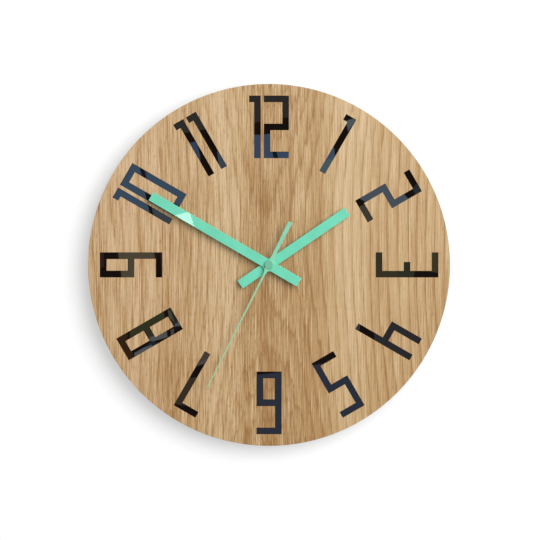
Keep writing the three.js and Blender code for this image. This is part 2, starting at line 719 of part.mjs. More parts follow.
// Wheels of the going train, from the rotor to the centre
const gear = (count, module, rear, front, phase = 0) => plate(gearOutline(count, module, phase), rear, front);
const magnetRear = (statorRear + statorFront - magnet.thickness) / 2;
const magnetFront = magnetRear + magnet.thickness;
const magnetRing = tube(magnet.radius, magnet.bore, magnetRear, magnetFront);
add(movementGroup, 'rotor_magnet', magnetRing, magnetGrey, rotorAt);
add(
  movementGroup,
  'rotor_pinion',
  join(
    rod(arborPin.radius, pinRear, bridgePinFront),
    rod(magnet.bore - slip, bossTop + seat, magnetFront),
    gear(
      teeth.rotorPinion, train.module, bossTop + seat, fifthWheelFront + seat,
      meshPhase(teeth.fifthWheel, 0, teeth.rotorPinion, fifthAt, rotorAt),
    ),
  ),
  gearWhite,
  rotorAt,
);
add(
  movementGroup,
  'fifth_wheel',
  join(
    rod(arborPin.radius, pinRear, bridgePinFront),
    gear(teeth.fifthWheel, train.module, fifthWheelRear, fifthWheelFront),
    gear(
      teeth.fifthPinion, fine.module, fifthWheelRear, secondWheelFront + seat,
      meshPhase(teeth.secondWheel, 0, teeth.fifthPinion, centreAt, fifthAt),
    ),
  ),
  gearWhite,
  fifthAt,
);
const pinBore = secondPin.radius + slip;
const secondPinionFront = thirdWheelFront + seat;
add(
  movementGroup,
  'second_wheel',
  cut(
    join(
      gear(teeth.secondWheel, fine.module, secondWheelRear, secondWheelFront),
      gear(teeth.secondPinion, train.module, secondWheelRear, secondPinionFront),
    ),
    rod(pinBore, secondWheelRear - overrun, secondPinionFront + overrun),
  ),
  gearWhite,
);
const secondArborFront = secondCapRear - secondCap.pinDrop;
add(movementGroup, 'second_arbor', rod(secondPin.radius, pinRear, secondArborFront), steel);
add(
  movementGroup,
  'third_wheel',
  join(
    rod(arborPin.radius, pinRear, pinFront),
    gear(
      teeth.thirdWheel, train.module, thirdWheelRear, thirdWheelFront,
      meshPhase(teeth.secondPinion, 0, teeth.thirdWheel, centreAt, thirdAt),
    ),
    gear(teeth.thirdPinion, slowModule, centreWheelRear - seat, centreWheelFront + seat),
  ),
  gearWhite,
  thirdAt,
);
const centrePhase = meshPhase(teeth.thirdPinion, 0, teeth.centreWheel, thirdAt, centreAt);
const centreOutline = gearOutline(teeth.centreWheel, slowModule, centrePhase);
const pipeHole = circle(minutePipe.radius + slip, shaftSides);
const centreWheel = plate(centreOutline, centreWheelRear, centreWheelFront, [pipeHole]);
add(movementGroup, 'centre_wheel', centreWheel, gearWhite);

// Motion work: minute arbor with its cannon pinion, minute wheel, hour wheel and set knob
const minuteFront = minuteColletFront - minuteCollet.pipeDrop;
add(
  movementGroup,
  'minute_arbor',
  cut(
    join(
      rod(minuteJournal.radius, bridgeRear, centreWheelFront, centreAt, shaftSides),
      rod(minutePipe.radius, bridgeFront + runGap, minuteFront, centreAt, shaftSides),
      gear(teeth.cannonPinion, motion.module, centreWheelFront + runGap, hourWheelRear - seat),
    ),
    rod(pinBore, bridgeRear - overrun, minuteFront + overrun),
  ),
  gearWhite,
);
add(
  movementGroup,
  'minute_wheel',
  join(
    rod(settingArbor.radius, wellTop + seat, pinFront),
    gear(
      teeth.minuteWheel, motion.module, minuteWheelRear, minuteWheelFront,
      meshPhase(teeth.cannonPinion, 0, teeth.minuteWheel, centreAt, settingAt),
    ),
    gear(teeth.minutePinion, motion.module, minuteWheelRear, hourWheelFront + seat),
  ),
  gearWhite,
  settingAt,
);
const hourFront = hourColletFront - hourCollet.pipeDrop;
const hourBore = minutePipe.radius + slip;
add(
  movementGroup,
  'hour_wheel',
  cut(
    join(
      gear(
        teeth.hourWheel, motion.module, hourWheelRear, hourWheelFront,
        meshPhase(teeth.minutePinion, 0, teeth.hourWheel, settingAt, centreAt),
      ),
      rod(hourPipe.radius, hourWheelRear, hourFront, centreAt, shaftSides),
    ),
    rod(hourBore, hourWheelRear - overrun, hourFront + overrun, centreAt, shaftSides),
  ),
  gearWhite,
);
const knobOutline = Array.from({ length: 4 * setKnob.ribs }, (_, i) => {
  const radius = i % 4 < 2 ? setKnob.radius : setKnob.radius - setKnob.ribDepth;
  const turn = (2 * Math.PI * i) / (4 * setKnob.ribs);
  return new THREE.Vector2(radius * Math.cos(turn), radius * Math.sin(turn));
});
const stemFront = seat + knobStem.length;
add(
  movementGroup,
  'set_knob',
  cut(
    join(plate(knobOutline, seat, knobFront), rod(knobStem.radius, seat, stemFront, centreAt, shaftSides)),
    rod(settingArbor.radius + slip, wellTop, stemFront + overrun),
    rod(knobStem.dish, seat - overrun, seat + knobStem.dishDepth, centreAt, shaftSides),
  ),
  gearWhite,
  settingAt,
);

// Battery cell along x, nub to the right, and its two contact strips
const canFront = cell.can - cell.recess;
const rimBore = cell.radius - cell.rim;
const capRadius = rimBore - slip;
const jacketProfile = [
  [0, cell.recess], [rimBore, cell.recess], [rimBore, 0], [cell.radius - cell.edge, 0],
  [cell.radius, cell.edge], [cell.radius, cell.can - cell.edge], [cell.radius - cell.edge, cell.can],
  [rimBore, cell.can], [rimBore, canFront], [0, canFront],
];
const cellPlace = new THREE.Group();
cellPlace.position.set(cellRear, cellY, cellZ);
cellPlace.rotation.y = Math.PI / 2;
movementGroup.add(cellPlace);
add(cellPlace, 'battery_jacket', turned(jacketProfile, cellSides), cellSleeve);
const positiveProfile = [
  [0, cell.can - cell.cap], [capRadius, cell.can - cell.cap], [capRadius, cell.can],
  [cell.nub, cell.can], [cell.nub, cellLength - cell.edge], [cell.nub - cell.edge, cellLength],
  [0, cellLength],
];
add(cellPlace, 'battery_positive_cap', turned(positiveProfile, cellSides), nickel);
const negativeProfile = [[0, 0], [capRadius, 0], [capRadius, cell.cap], [0, cell.cap]];
add(cellPlace, 'battery_negative_cap', turned(negativeProfile, cellSides), nickel);

// A strip runs from the bay, through the divider, to its foot over the circuit board
const stripLow = insideFoot + seat;
const footY = circuitY + circuit.width / 2 - strip.footInset;
const footX = stripX - strip.foot;
const positivePath = [[stripX, stripLow], [stripX, footY], [footX, footY]];
const negativePath = [
  [-stripX, stripLow], [-stripX, cellY - strip.leafHalf], [-stripX + strip.leafDepth, cellY],
  [-stripX, cellY + strip.leafHalf], [-stripX, footY], [-footX, footY],
];
for (const [name, path] of [['positive_contact', positivePath], ['negative_contact', negativePath]]) {
  add(movementGroup, name, plate(ribbon(path, strip.thickness), stripRear, stripRear + strip.width), nickel);
}

// Hour and minute hands: flat bars with a round boss, on collets
function barHand(name, hand, collet, pipe, colletRear) {
  const bladeRear = colletRear + collet.step;
  const bladeFront = bladeRear + hand.thickness;
  const outline = rectangle(-hand.width / 2, -hand.tail, hand.width / 2, hand.reach);
  const bar = plate(outline, bladeRear, bladeFront);
  const boss = rod(hand.boss, bladeRear, bladeFront, centreAt, cellSides);
  const through = [bladeRear - overrun, bladeFront + overrun];
  const hole = rod(collet.radius + slip, ...through, centreAt, shaftSides);
  const blade = cut(join(bar, boss), hole);
  add(hands, `${name}_hand`, blade, mintPaint).rotation.z = -radians(hand.clock);
  const ring = tube(collet.radius, pipe.radius + slip, colletRear, colletRear + collet.length);
  add(hands, `${name}_hand_collet`, ring, steel);
}
barHand('hour', hourHand, hourCollet, hourPipe, hourColletRear);
barHand('minute', minuteHand, minuteCollet, minutePipe, minuteColletRear);

// Second hand: a stamped needle with a broad tail, flared into its hub
const taper = (points) => plate(vectors(points), secondBladeRear, secondBladeFront);
const mirrored = (points) => [...points, ...points.map(([x, y]) => [-x, y]).reverse()];
const { needleRoot, needleTip, tailRoot, tailEnd, flare, flareWidth, reach, tail } = secondHand;
const secondBlade = cut(
  join(
    rod(secondHand.hub, secondBladeRear, secondBladeFront, centreAt, cellSides),
    taper(mirrored([[needleRoot / 2, 0], [needleTip / 2, reach]])),
    taper(mirrored([[tailEnd / 2, -tail], [tailRoot / 2, 0]])),
    taper(mirrored([[flareWidth / 2, 0], [needleRoot / 2, flare]])),
    taper(mirrored([[tailRoot / 2, -flare], [flareWidth / 2, 0]])),
  ),
  rod(secondCap.tube + slip, secondBladeRear - overrun, secondBladeFront + overrun),
);
add(hands, 'second_hand', secondBlade, mintPaint).rotation.z = -radians(secondHand.clock);
const capFront = secondCapRear + secondCap.height;
const capProfile = [
  [pinBore, secondTubeRear], [secondCap.tube, secondTubeRear], [secondCap.tube, secondCapRear],
  [secondCap.radius, secondCapRear], [secondCap.radius, capFront - secondCap.round],
  [secondCap.radius - secondCap.round, capFront], [0, capFront], [0, secondCapRear], [pinBore, secondCapRear],
  [pinBore, secondTubeRear],
];
add(hands, 'second_hand_cap', turned(capProfile, shaftSides), mintPaint);

clock.rotation.x = Math.PI / 2;

export default clock;
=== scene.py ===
import functools
import json
import math

import bmesh
import bpy
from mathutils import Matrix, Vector


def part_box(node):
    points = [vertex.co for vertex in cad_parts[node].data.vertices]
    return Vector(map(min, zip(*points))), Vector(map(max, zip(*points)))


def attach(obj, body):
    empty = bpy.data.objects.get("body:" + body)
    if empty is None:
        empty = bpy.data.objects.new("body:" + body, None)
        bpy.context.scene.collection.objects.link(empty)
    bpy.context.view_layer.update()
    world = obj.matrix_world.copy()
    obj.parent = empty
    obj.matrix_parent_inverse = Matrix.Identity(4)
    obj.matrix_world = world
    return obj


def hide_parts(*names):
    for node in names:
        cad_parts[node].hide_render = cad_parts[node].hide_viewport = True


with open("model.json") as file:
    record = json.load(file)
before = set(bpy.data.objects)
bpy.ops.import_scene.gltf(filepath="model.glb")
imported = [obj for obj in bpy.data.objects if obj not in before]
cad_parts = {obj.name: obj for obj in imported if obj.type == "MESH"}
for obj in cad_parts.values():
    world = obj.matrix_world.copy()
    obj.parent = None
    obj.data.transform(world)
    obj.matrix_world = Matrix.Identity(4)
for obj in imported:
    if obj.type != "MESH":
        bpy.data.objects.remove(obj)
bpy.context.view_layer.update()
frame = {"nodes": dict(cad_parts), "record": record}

bl_info = {
    "name": "Oak Wall Clock",
    "version": (1, 0, 0),
    "blender": (4, 5, 0),
    "location": "3D View > Sidebar > Wall Clock",
    "description": "Finishes the oak dial, the mint hands and the quartz movement of a wall clock",
    "category": "Add Mesh",
}

MM = 0.001
NODES = frame["nodes"]
BODY_OF = {
    node: body
    for body, members in frame["record"]["behaviour"]["bodies"].items()
    for node in members
}

# Places that the fixed frame gives: the hands' axis is the line x = 0, z = 0, and the wall is y = 0
BOARD_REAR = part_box("oak_board")[1].y
BOARD_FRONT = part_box("oak_board")[0].y
BOARD_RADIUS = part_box("oak_board")[1].x


# Colours
def linear(code):
    """A linear RGBA colour from an sRGB hex code."""
    shares = [int(code[i:i + 2], 16) / 255 for i in (1, 3, 5)]
    return tuple(s / 12.92 if s <= 0.04045 else ((s + 0.055) / 1.055) ** 2.4 for s in shares) + (1.0,)


# Settings
def number(name, description, default, **limits):
    """A number setting."""
    return bpy.props.FloatProperty(name=name, description=description, default=default, **limits)


def colour(name, description, code):
    """A colour setting, from an sRGB hex code."""
    return bpy.props.FloatVectorProperty(name=name, description=description, default=linear(code), size=4,
                                         min=0.0, max=1.0, subtype="COLOR")


# Settings in metres, and settings from zero to one
length = functools.partial(number, unit="LENGTH", precision=5)
share = functools.partial(number, min=0.0, max=1.0, subtype="FACTOR")


class OakSettings(bpy.types.PropertyGroup):
    light: colour("Light wood", "Wood between two growth lines", "#dabd93")
    tan: colour("Tan wood", "The even ground colour of the veneer", "#c09d69")
    dark: colour("Dark wood", "Broad darker bands", "#a67b41")
    line: colour("Growth line", "Thin dark line of each ring", "#8f6128")
    pore: colour("Pores", "Open vessels seen as short dark dashes", "#8a5c2b")
    burnt: colour("Laser edge", "Scorched wood in the cut faces", "#5b3a22")
    ring: length("Ring width", "Width of one year's growth", 7.5 * MM)
    pith: length("Depth of the pith", "Distance from the veneer to the tree's middle", 46 * MM)
    edge: length("Edge", "Rounding of the cut edges", 0.2 * MM)


class HandSettings(bpy.types.PropertyGroup):
    mint: colour("Mint", "Enamel of the hands", "#7ae4c2")
    cap: colour("Cap", "Greyer enamel of the cap", "#6cbf9c")
    tail: colour("Tail", "Enamel of the second hand's hub and tail", "#92dfbd")
    needle: colour("Needle", "Enamel of the second hand's needle", "#a9d3a8")
    edge: length("Edge", "Rounding that the stamping leaves on the bars", 0.22 * MM)
    needle_edge: length("Needle edge", "Rounding on the second hand", 0.1 * MM)


class MovementSettings(bpy.types.PropertyGroup):
    case_black: colour("Case", "Moulded case", "#1b1c1e")
    acetal: colour("Wheels", "Moulded wheels", "#e6e4dc")
    sleeve: colour("Cell sleeve", "Foil round the cell", "#3f6f8f")
    brass: colour("Brass", "Turned fasteners", "#c9a24e")
    bridge: colour("Bridge", "Plate that holds the middle of the train", "#8f9a8c")
    thread: length("Thread", "Pitch of the bush's thread", 0.75 * MM)
    edge: length("Edge", "Rounding of the moulded edges", 0.25 * MM)
    fine_edge: length("Fine edge", "Rounding of the small metal and moulded pieces", 0.06 * MM)
    tooth_edge: length("Tooth edge", "Rounding of the wheels' teeth", 0.03 * MM)


class StageSettings(bpy.types.PropertyGroup):
    distance: length("Camera distance", "From the board's front to the camera", 2.0)
    frame_width: length("Picture width", "Width that the picture spans at the board", 492.3 * MM)
    camera_x: length("Camera to the right", "Places the dial in the picture", 0.9 * MM)
    camera_z: length("Camera up", "Places the dial in the picture", -4.65 * MM)
    world_light: share("World light", "Even light from all round", 0.28)
    key_share: share("Key light", "The lamp's part of the light on the dial", 0.79)
    rear_share: share("Rear light", "Light on the back, as a part of that on the dial", 0.6)
    key_off_axis: number("Key off axis", "Degrees from straight ahead", 29.0)
    key_turn: number("Key turn", "Degrees above level, on the right", 31.0)
    key_distance: length("Key distance", "From the dial to the lamp", 2.6)
    key_size: length("Key size", "Width of the soft lamp", 2.2)
    wall_lift: share("Wall lift", "Light that keeps the backdrop white", 0.47)
    sheet_reach: length("Wall reach", "Half the width of the pale wall", 0.75)
    floor_z: length("Floor", "Height of the floor", -0.62)


class ClockSettings(bpy.types.PropertyGroup):
    oak: bpy.props.PointerProperty(type=OakSettings, name="Oak")
    hands: bpy.props.PointerProperty(type=HandSettings, name="Hands")
    movement: bpy.props.PointerProperty(type=MovementSettings, name="Movement")
    stage: bpy.props.PointerProperty(type=StageSettings, name="Stage")


def settings():
    """The scene's clock settings."""
    return bpy.context.scene.wall_clock


def add_object(name, data):
    """Puts a new object in the scene."""
    made = bpy.data.objects.new(name, data)
    bpy.context.scene.collection.objects.link(made)
    return made


# Shader nodes
def add_node(tree, kind, inputs=None, stops=(), **settings_of_node):
    """Adds a shader node with its settings and ramp stops, and sets or links its inputs."""
    made = tree.nodes.new("ShaderNode" + kind)
    for name, value in settings_of_node.items():
        setattr(made, name, value)
    for name, value in (inputs or {}).items():
        if isinstance(value, bpy.types.Node):
            value = next(socket for socket in value.outputs if socket.enabled)
        if isinstance(value, bpy.types.NodeSocket):
            tree.links.new(value, made.inputs[name])
        else:
            made.inputs[name].default_value = value
    for i, (position, tone) in enumerate(stops):
        ramp = made.color_ramp.elements
        element = ramp[i] if i < len(ramp) else ramp.new(position)
        element.position = position
        element.color = (tone, tone, tone, 1.0) if isinstance(tone, float) else tone
    return made


def new_material(name):
    """A material, the function that adds nodes to it, and the place on the piece in metres."""
    material = bpy.data.materials.new(name)
    material.use_nodes = True
    material.node_tree.nodes.clear()
    add = functools.partial(add_node, material.node_tree)
    return material, add, add("TexCoord").outputs["Object"]


def cover_with(add, colour, rough, height, depth, **plain):
    """Gives the material its shader, with a relief depth metres high and plain values by name."""
    bump = add("Bump", {"Height": height, "Distance": depth})
    values = {"Base Color": colour, "Roughness": rough, "Normal": bump}
    values.update({name.replace("_", " "): value for name, value in plain.items()})
    add("OutputMaterial", {"Surface": add("BsdfPrincipled", values)})


def shaded(tone, strength):
    """A colour made darker or lighter."""
    return tuple(min(1.0, part * strength) for part in tone[:3]) + (1.0,)


# Meshes
# Points this close are one, and a normal this close to Y is that of a face flat to the wall
WELD = 0.5e-6
FLAT_TO_WALL = math.cos(math.radians(0.05))
# Smallest turns of a corner, of an edge between two shades, and of an edge that gets rounded
CORNER = math.radians(0.1)
CREASE = math.radians(50)
SHARP = math.radians(38)
# Largest turn at an edge within a flat face
NEARLY_FLAT = math.radians(0.5)
# Sides of the dial's circles, fewest points of a circle, and steps round a plate's and other edges
ROUND_SIDES = 256
FEWEST_ROUND = 12
EDGE_STEPS = 3
BEVEL_STEPS = 2
# The bush's sides, and its thread's steps and depth in each pitch
BUSH_SIDES = 48
THREAD_STEPS = 6
THREAD_SLOPE = 0.6
# The cap's sides, its rolled rim's steps, radius and height, and its dish's depth
CAP_SIDES = 96
ROLL_STEPS = 6
ROLL = 0.5 * MM
ROLL_HEIGHT = 0.9 * ROLL
DISH = 0.2 * MM


def cad_mesh(node):
    """A CAD node's mesh with its points joined."""
    mesh = bmesh.new()
    mesh.from_mesh(NODES[node].data)
    bmesh.ops.remove_doubles(mesh, verts=mesh.verts, dist=WELD)
    return mesh


def face_loops(node, round_sides=0):
    """Outlines of a flat CAD piece's front face as closed lists of (x, z), outer ones anticlockwise.

    Where round_sides is given, an outline that is a circle gets that many sides.
    """
    mesh = cad_mesh(node)
    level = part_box(node)[0].y
    # A dict keeps the faces in order, so that each run gives the same outlines
    flat = dict.fromkeys(face for face in mesh.faces
                         if all(abs(vert.co.y - level) < WELD for vert in face.verts))
    onward = {}
    for face in flat:
        for corner in face.loops:
            if corner.link_loop_radial_next.face not in flat:
                onward[corner.vert] = corner.link_loop_next.vert
    outlines = []
    while onward:
        vert, after = onward.popitem()
        outline = [vert]
        while after is not outline[0]:
            outline.append(after)
            after = onward.pop(after)
        outlines.append([Vector((v.co.x, v.co.z)) for v in outline])
    mesh.free()
    outlines = [without_straight_points(outline) for outline in outlines]
    return [finer_circle(outline, round_sides) for outline in outlines]


def ways_at(outline, i):
    """The directions of an outline just before and just after a point."""
    point = outline[i]
    return (point - outline[i - 1]).normalized(), (outline[(i + 1) % len(outline)] - point).normalized()


def turn_at(outline, i):
    """The sine of the turn at a point of an outline."""
    before, after = ways_at(outline, i)
    return before.cross(after)


def without_straight_points(outline):
    """The outline without the points that lie on its straight stretches."""
    return [point for i, point in enumerate(outline) if abs(turn_at(outline, i)) > math.sin(CORNER)]


def finer_circle(outline, sides):
    """The outline, with that many sides where it is a circle with fewer."""
    centre = sum(outline, Vector((0.0, 0.0))) / len(outline)
    reaches = [(point - centre).length for point in outline]
    uneven = max(reaches) - min(reaches) > 4 * WELD
    if uneven or not FEWEST_ROUND <= len(outline) < sides:
        return outline
    turn = math.copysign(2 * math.pi / sides, turn_at(outline, 0))
    first = outline[0] - centre
    start = math.atan2(first.y, first.x)
    reach = sum(reaches) / len(reaches)
    turns = [start + i * turn for i in range(sides)]
    return [centre + Vector((math.cos(way), math.sin(way))) * reach for way in turns]


def inset_outline(outline, inset):
    """The outline moved into the material, which lies on its left."""
    moved = []
    for i, point in enumerate(outline):
        before, after = ways_at(outline, i)
        first = Vector((-before.y, before.x))
        second = Vector((-after.y, after.x))
        moved.append(point + (first + second) * (inset / (1 + first.dot(second))))
    return moved


def quarter_turn(steps):
    """Angles from 0 to a right angle, in equal steps."""
    return [math.pi / 2 * i / steps for i in range(steps + 1)]


def rounded_stations(rear, front, edge):
    """(inset, y) stations from a plate's rear face to its front face, round both edges."""
    turns = quarter_turn(EDGE_STEPS)
    quarter = [(edge * (1 - math.sin(turn)), edge * (1 - math.cos(turn))) for turn in turns]
    rear_edge = [(inset, rear - drop) for inset, drop in quarter]
    front_edge = [(inset, front + drop) for inset, drop in reversed(quarter)]
    return rear_edge + front_edge


def add_band(mesh, first, second):
    """Joins two rings of vertices by faces and gives these, three-sided where a ring is one point."""
    rows = zip(first, first[1:] + first[:1], second[1:] + second[:1], second)
    return [mesh.faces.new(corners) for corners in map(dict.fromkeys, rows) if len(corners) > 2]


def plate_mesh(name, outlines, stations):
    """A closed plate through (inset, y) stations of its outlines, with material 1 on its straight walls."""
    mesh = bmesh.new()
    ends = [[], []]
    for outline in outlines:
        rings = []
        for inset, y in stations:
            rings.append([mesh.verts.new((p.x, y, p.y)) for p in inset_outline(outline, inset)])
        for s in range(len(stations) - 1):
            wall = stations[s][0] == 0 and stations[s + 1][0] == 0
            for face in add_band(mesh, rings[s], rings[s + 1]):
                face.material_index = int(wall)
        for end, ring in zip(ends, (rings[0], rings[-1])):
            end.extend(mesh.edges.get(pair) for pair in zip(ring, ring[1:] + ring[:1]))
    for end in ends:
        bmesh.ops.triangle_fill(mesh, edges=end, use_beauty=True, use_dissolve=False)
    return closed_data(name, mesh)


def turned_mesh(name, profile, sides):
    """A body turned about the hands' axis, from a (radius, y) profile that closes on itself or the axis."""
    mesh = bmesh.new()
    rings = []
    for radius, y in profile:
        turns = [2 * math.pi * i / sides for i in range(sides if radius > 0 else 1)]
        spots = [(radius * math.cos(turn), y, radius * math.sin(turn)) for turn in turns]
        ring = [mesh.verts.new(spot) for spot in spots]
        rings.append(ring * (sides // len(ring)))
    pairs = list(zip(rings, rings[1:]))
    if profile[0][0] > 0:
        pairs.append((rings[-1], rings[0]))
    for first, second in pairs:
        add_band(mesh, first, second)
    return closed_data(name, mesh)


def closed_data(name, mesh):
    """Mesh data from a closed bmesh, turned outwards and smooth, with faces flat to the wall kept flat."""
    bmesh.ops.recalc_face_normals(mesh, faces=mesh.faces)
    gaps = sum(len(edge.link_faces) != 2 for edge in mesh.edges)
    if gaps:
        raise RuntimeError(f"{name} has {gaps} open edges")
    for face in mesh.faces:
        face.smooth = True
    for edge in mesh.edges:
        flat = sum(abs(face.normal.y) > FLAT_TO_WALL for face in edge.link_faces)
        edge.smooth = flat != 1 and edge.calc_face_angle() < CREASE
    data = bpy.data.meshes.new(name)
    mesh.to_mesh(data)
    mesh.free()
    return data


def bevelled_copy(name, node, width):
    """A copy of a CAD node's mesh with its sharp edges rounded."""
    mesh = cad_mesh(node)
    bmesh.ops.dissolve_limit(mesh, angle_limit=NEARLY_FLAT, verts=mesh.verts, edges=mesh.edges)
    hard = [edge for edge in mesh.edges if edge.is_manifold and edge.calc_face_angle() > SHARP]
    bmesh.ops.bevel(
        mesh, geom=hard, offset=width, offset_type="OFFSET", segments=BEVEL_STEPS, profile=0.5,
        affect="EDGES", clamp_overlap=True, miter_outer="ARC", loop_slide=True,
    )
    bmesh.ops.triangulate(mesh, faces=[face for face in mesh.faces if len(face.verts) > 4])
    return closed_data(name, mesh)


def add_piece(data, materials, *nodes):
    """Links a piece that stands for CAD nodes, with the given materials, hides the nodes and puts the piece
    on their body.
    """
    for material in materials:
        data.materials.append(material)
    piece = add_object(data.name, data)
    weighted = piece.modifiers.new("even_shading", "WEIGHTED_NORMAL")
    weighted.keep_sharp = True
    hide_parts(*nodes)
    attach(piece, BODY_OF[nodes[0]])


def off_axis(vert):
    """How far a vertex lies from the hands' axis."""
    return math.hypot(vert.co.x, vert.co.z)


def threaded_mesh(name, node, pitch):
    """A flanged bush turned about the hands' axis, with a helical thread cut in its long outer face."""
    low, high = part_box(node)
    verts = NODES[node].data.vertices
    reaches = sorted({round(off_axis(vert), 6) for vert in verts})
    bore, root, outer, *_, flange = reaches
    ledge = min(vert.co.y for vert in verts if off_axis(vert) > (outer + flange) / 2)
    count = int((ledge - low.y) / pitch * THREAD_STEPS)
    places = [ledge + (low.y - ledge) * i / count for i in range(count + 1)]
    profile = [(bore, low.y), (bore, high.y), (flange, high.y), (flange, ledge)]
    profile += [(outer, place) for place in places]
    data = turned_mesh(name, profile, BUSH_SIDES)
    for vert in data.vertices:
        reach = off_axis(vert)
        if abs(reach - outer) < WELD and vert.co.y < ledge - pitch:
            turn = (vert.co.y / pitch - math.atan2(vert.co.z, vert.co.x) / (2 * math.pi)) % 1
            lead_in = max(0.0, outer - root - (vert.co.y - low.y))
            cut = outer - max(pitch * THREAD_SLOPE * (1 - abs(2 * turn - 1)), lead_in)
            vert.co.x *= cut / reach
            vert.co.z *= cut / reach
    return data


def dished_cap(name, node):
    """A pressed cap on its tube, turned about the hands' axis, with a rolled rim round a shallow dish."""
    low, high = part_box(node)
    verts = NODES[node].data.vertices
    reaches = sorted({round(off_axis(vert), 6) for vert in verts})
    bore, tube, radius = next(reach for reach in reaches if reach > 0), reaches[-3], high.x
    under = sorted({round(vert.co.y, 6) for vert in verts})[2]
    profile = [(bore, high.y), (tube, high.y), (tube, under), (radius, under)]
    for turn in quarter_turn(ROLL_STEPS):
        profile.append((radius - ROLL * (1 - math.cos(turn)), low.y + ROLL_HEIGHT * (1 - math.sin(turn))))
    inner = radius - ROLL - DISH
    profile += [(inner, low.y), (inner - 2 * DISH, low.y + DISH), (0, low.y + DISH), (0, under)]
    return turned_mesh(name, profile, CAP_SIDES)


def finish(width, material, *nodes):
    """Adds CAD pieces' own shapes with their sharp edges rounded, in a finished material."""
    for node in nodes:
        add_piece(bevelled_copy(f"{node}_finished", node, width), [material], node)


# Finishes
# Pale and dark bands over the board's width, and fibres as a width, a share drawn out upwards and a weight
OAK_BANDS = [(0.0, 0.5), (0.16, 0.72), (0.25, 0.3), (0.36, 0.88), (0.47, 0.22), (0.58, 0.42), (0.65, 0.34),
             (0.72, 0.8), (0.79, 0.42), (0.9, 0.5), (1.0, 0.44)]
OAK_FIBRES = ((11 * MM, 0.04, 0.5), (3 * MM, 0.015, 0.16), (1.1 * MM, 0.012, 0.35), (0.45 * MM, 0.012, 2.2))
# The sways of the bands, as a width and a reach, and how much paler they get per metre upwards: partly the
# veneer's own tone, partly painted light that falls off towards the bottom
OAK_SWAYS = ((70 * MM, 40 * MM), (26 * MM, 20 * MM), (7 * MM, 1.4 * MM))
PALER_UP = 0.4
# The place and raggedness of the height where the growth lines arch, and how sharply they do
ARCH_DROP = 40 * MM
ARCH_RAGGED = 50 * MM
ARCH_BEND = -1.0
# The stretches in which the wood gets calmer to the right, and redder to the left
CALMER = {"From Min": 20 * MM, "From Max": 60 * MM}
REDDER = {"From Min": -20 * MM, "From Max": -100 * MM}
RED_SHADE = (1.0, 0.965, 0.97, 1.0)
# Thickness of a layer of the ply, and the stretch in which enamel changes its tone along the needle
LAYER = 1 * MM
NEEDLE_TONE = {"From Min": -5 * MM, "From Max": -18 * MM}


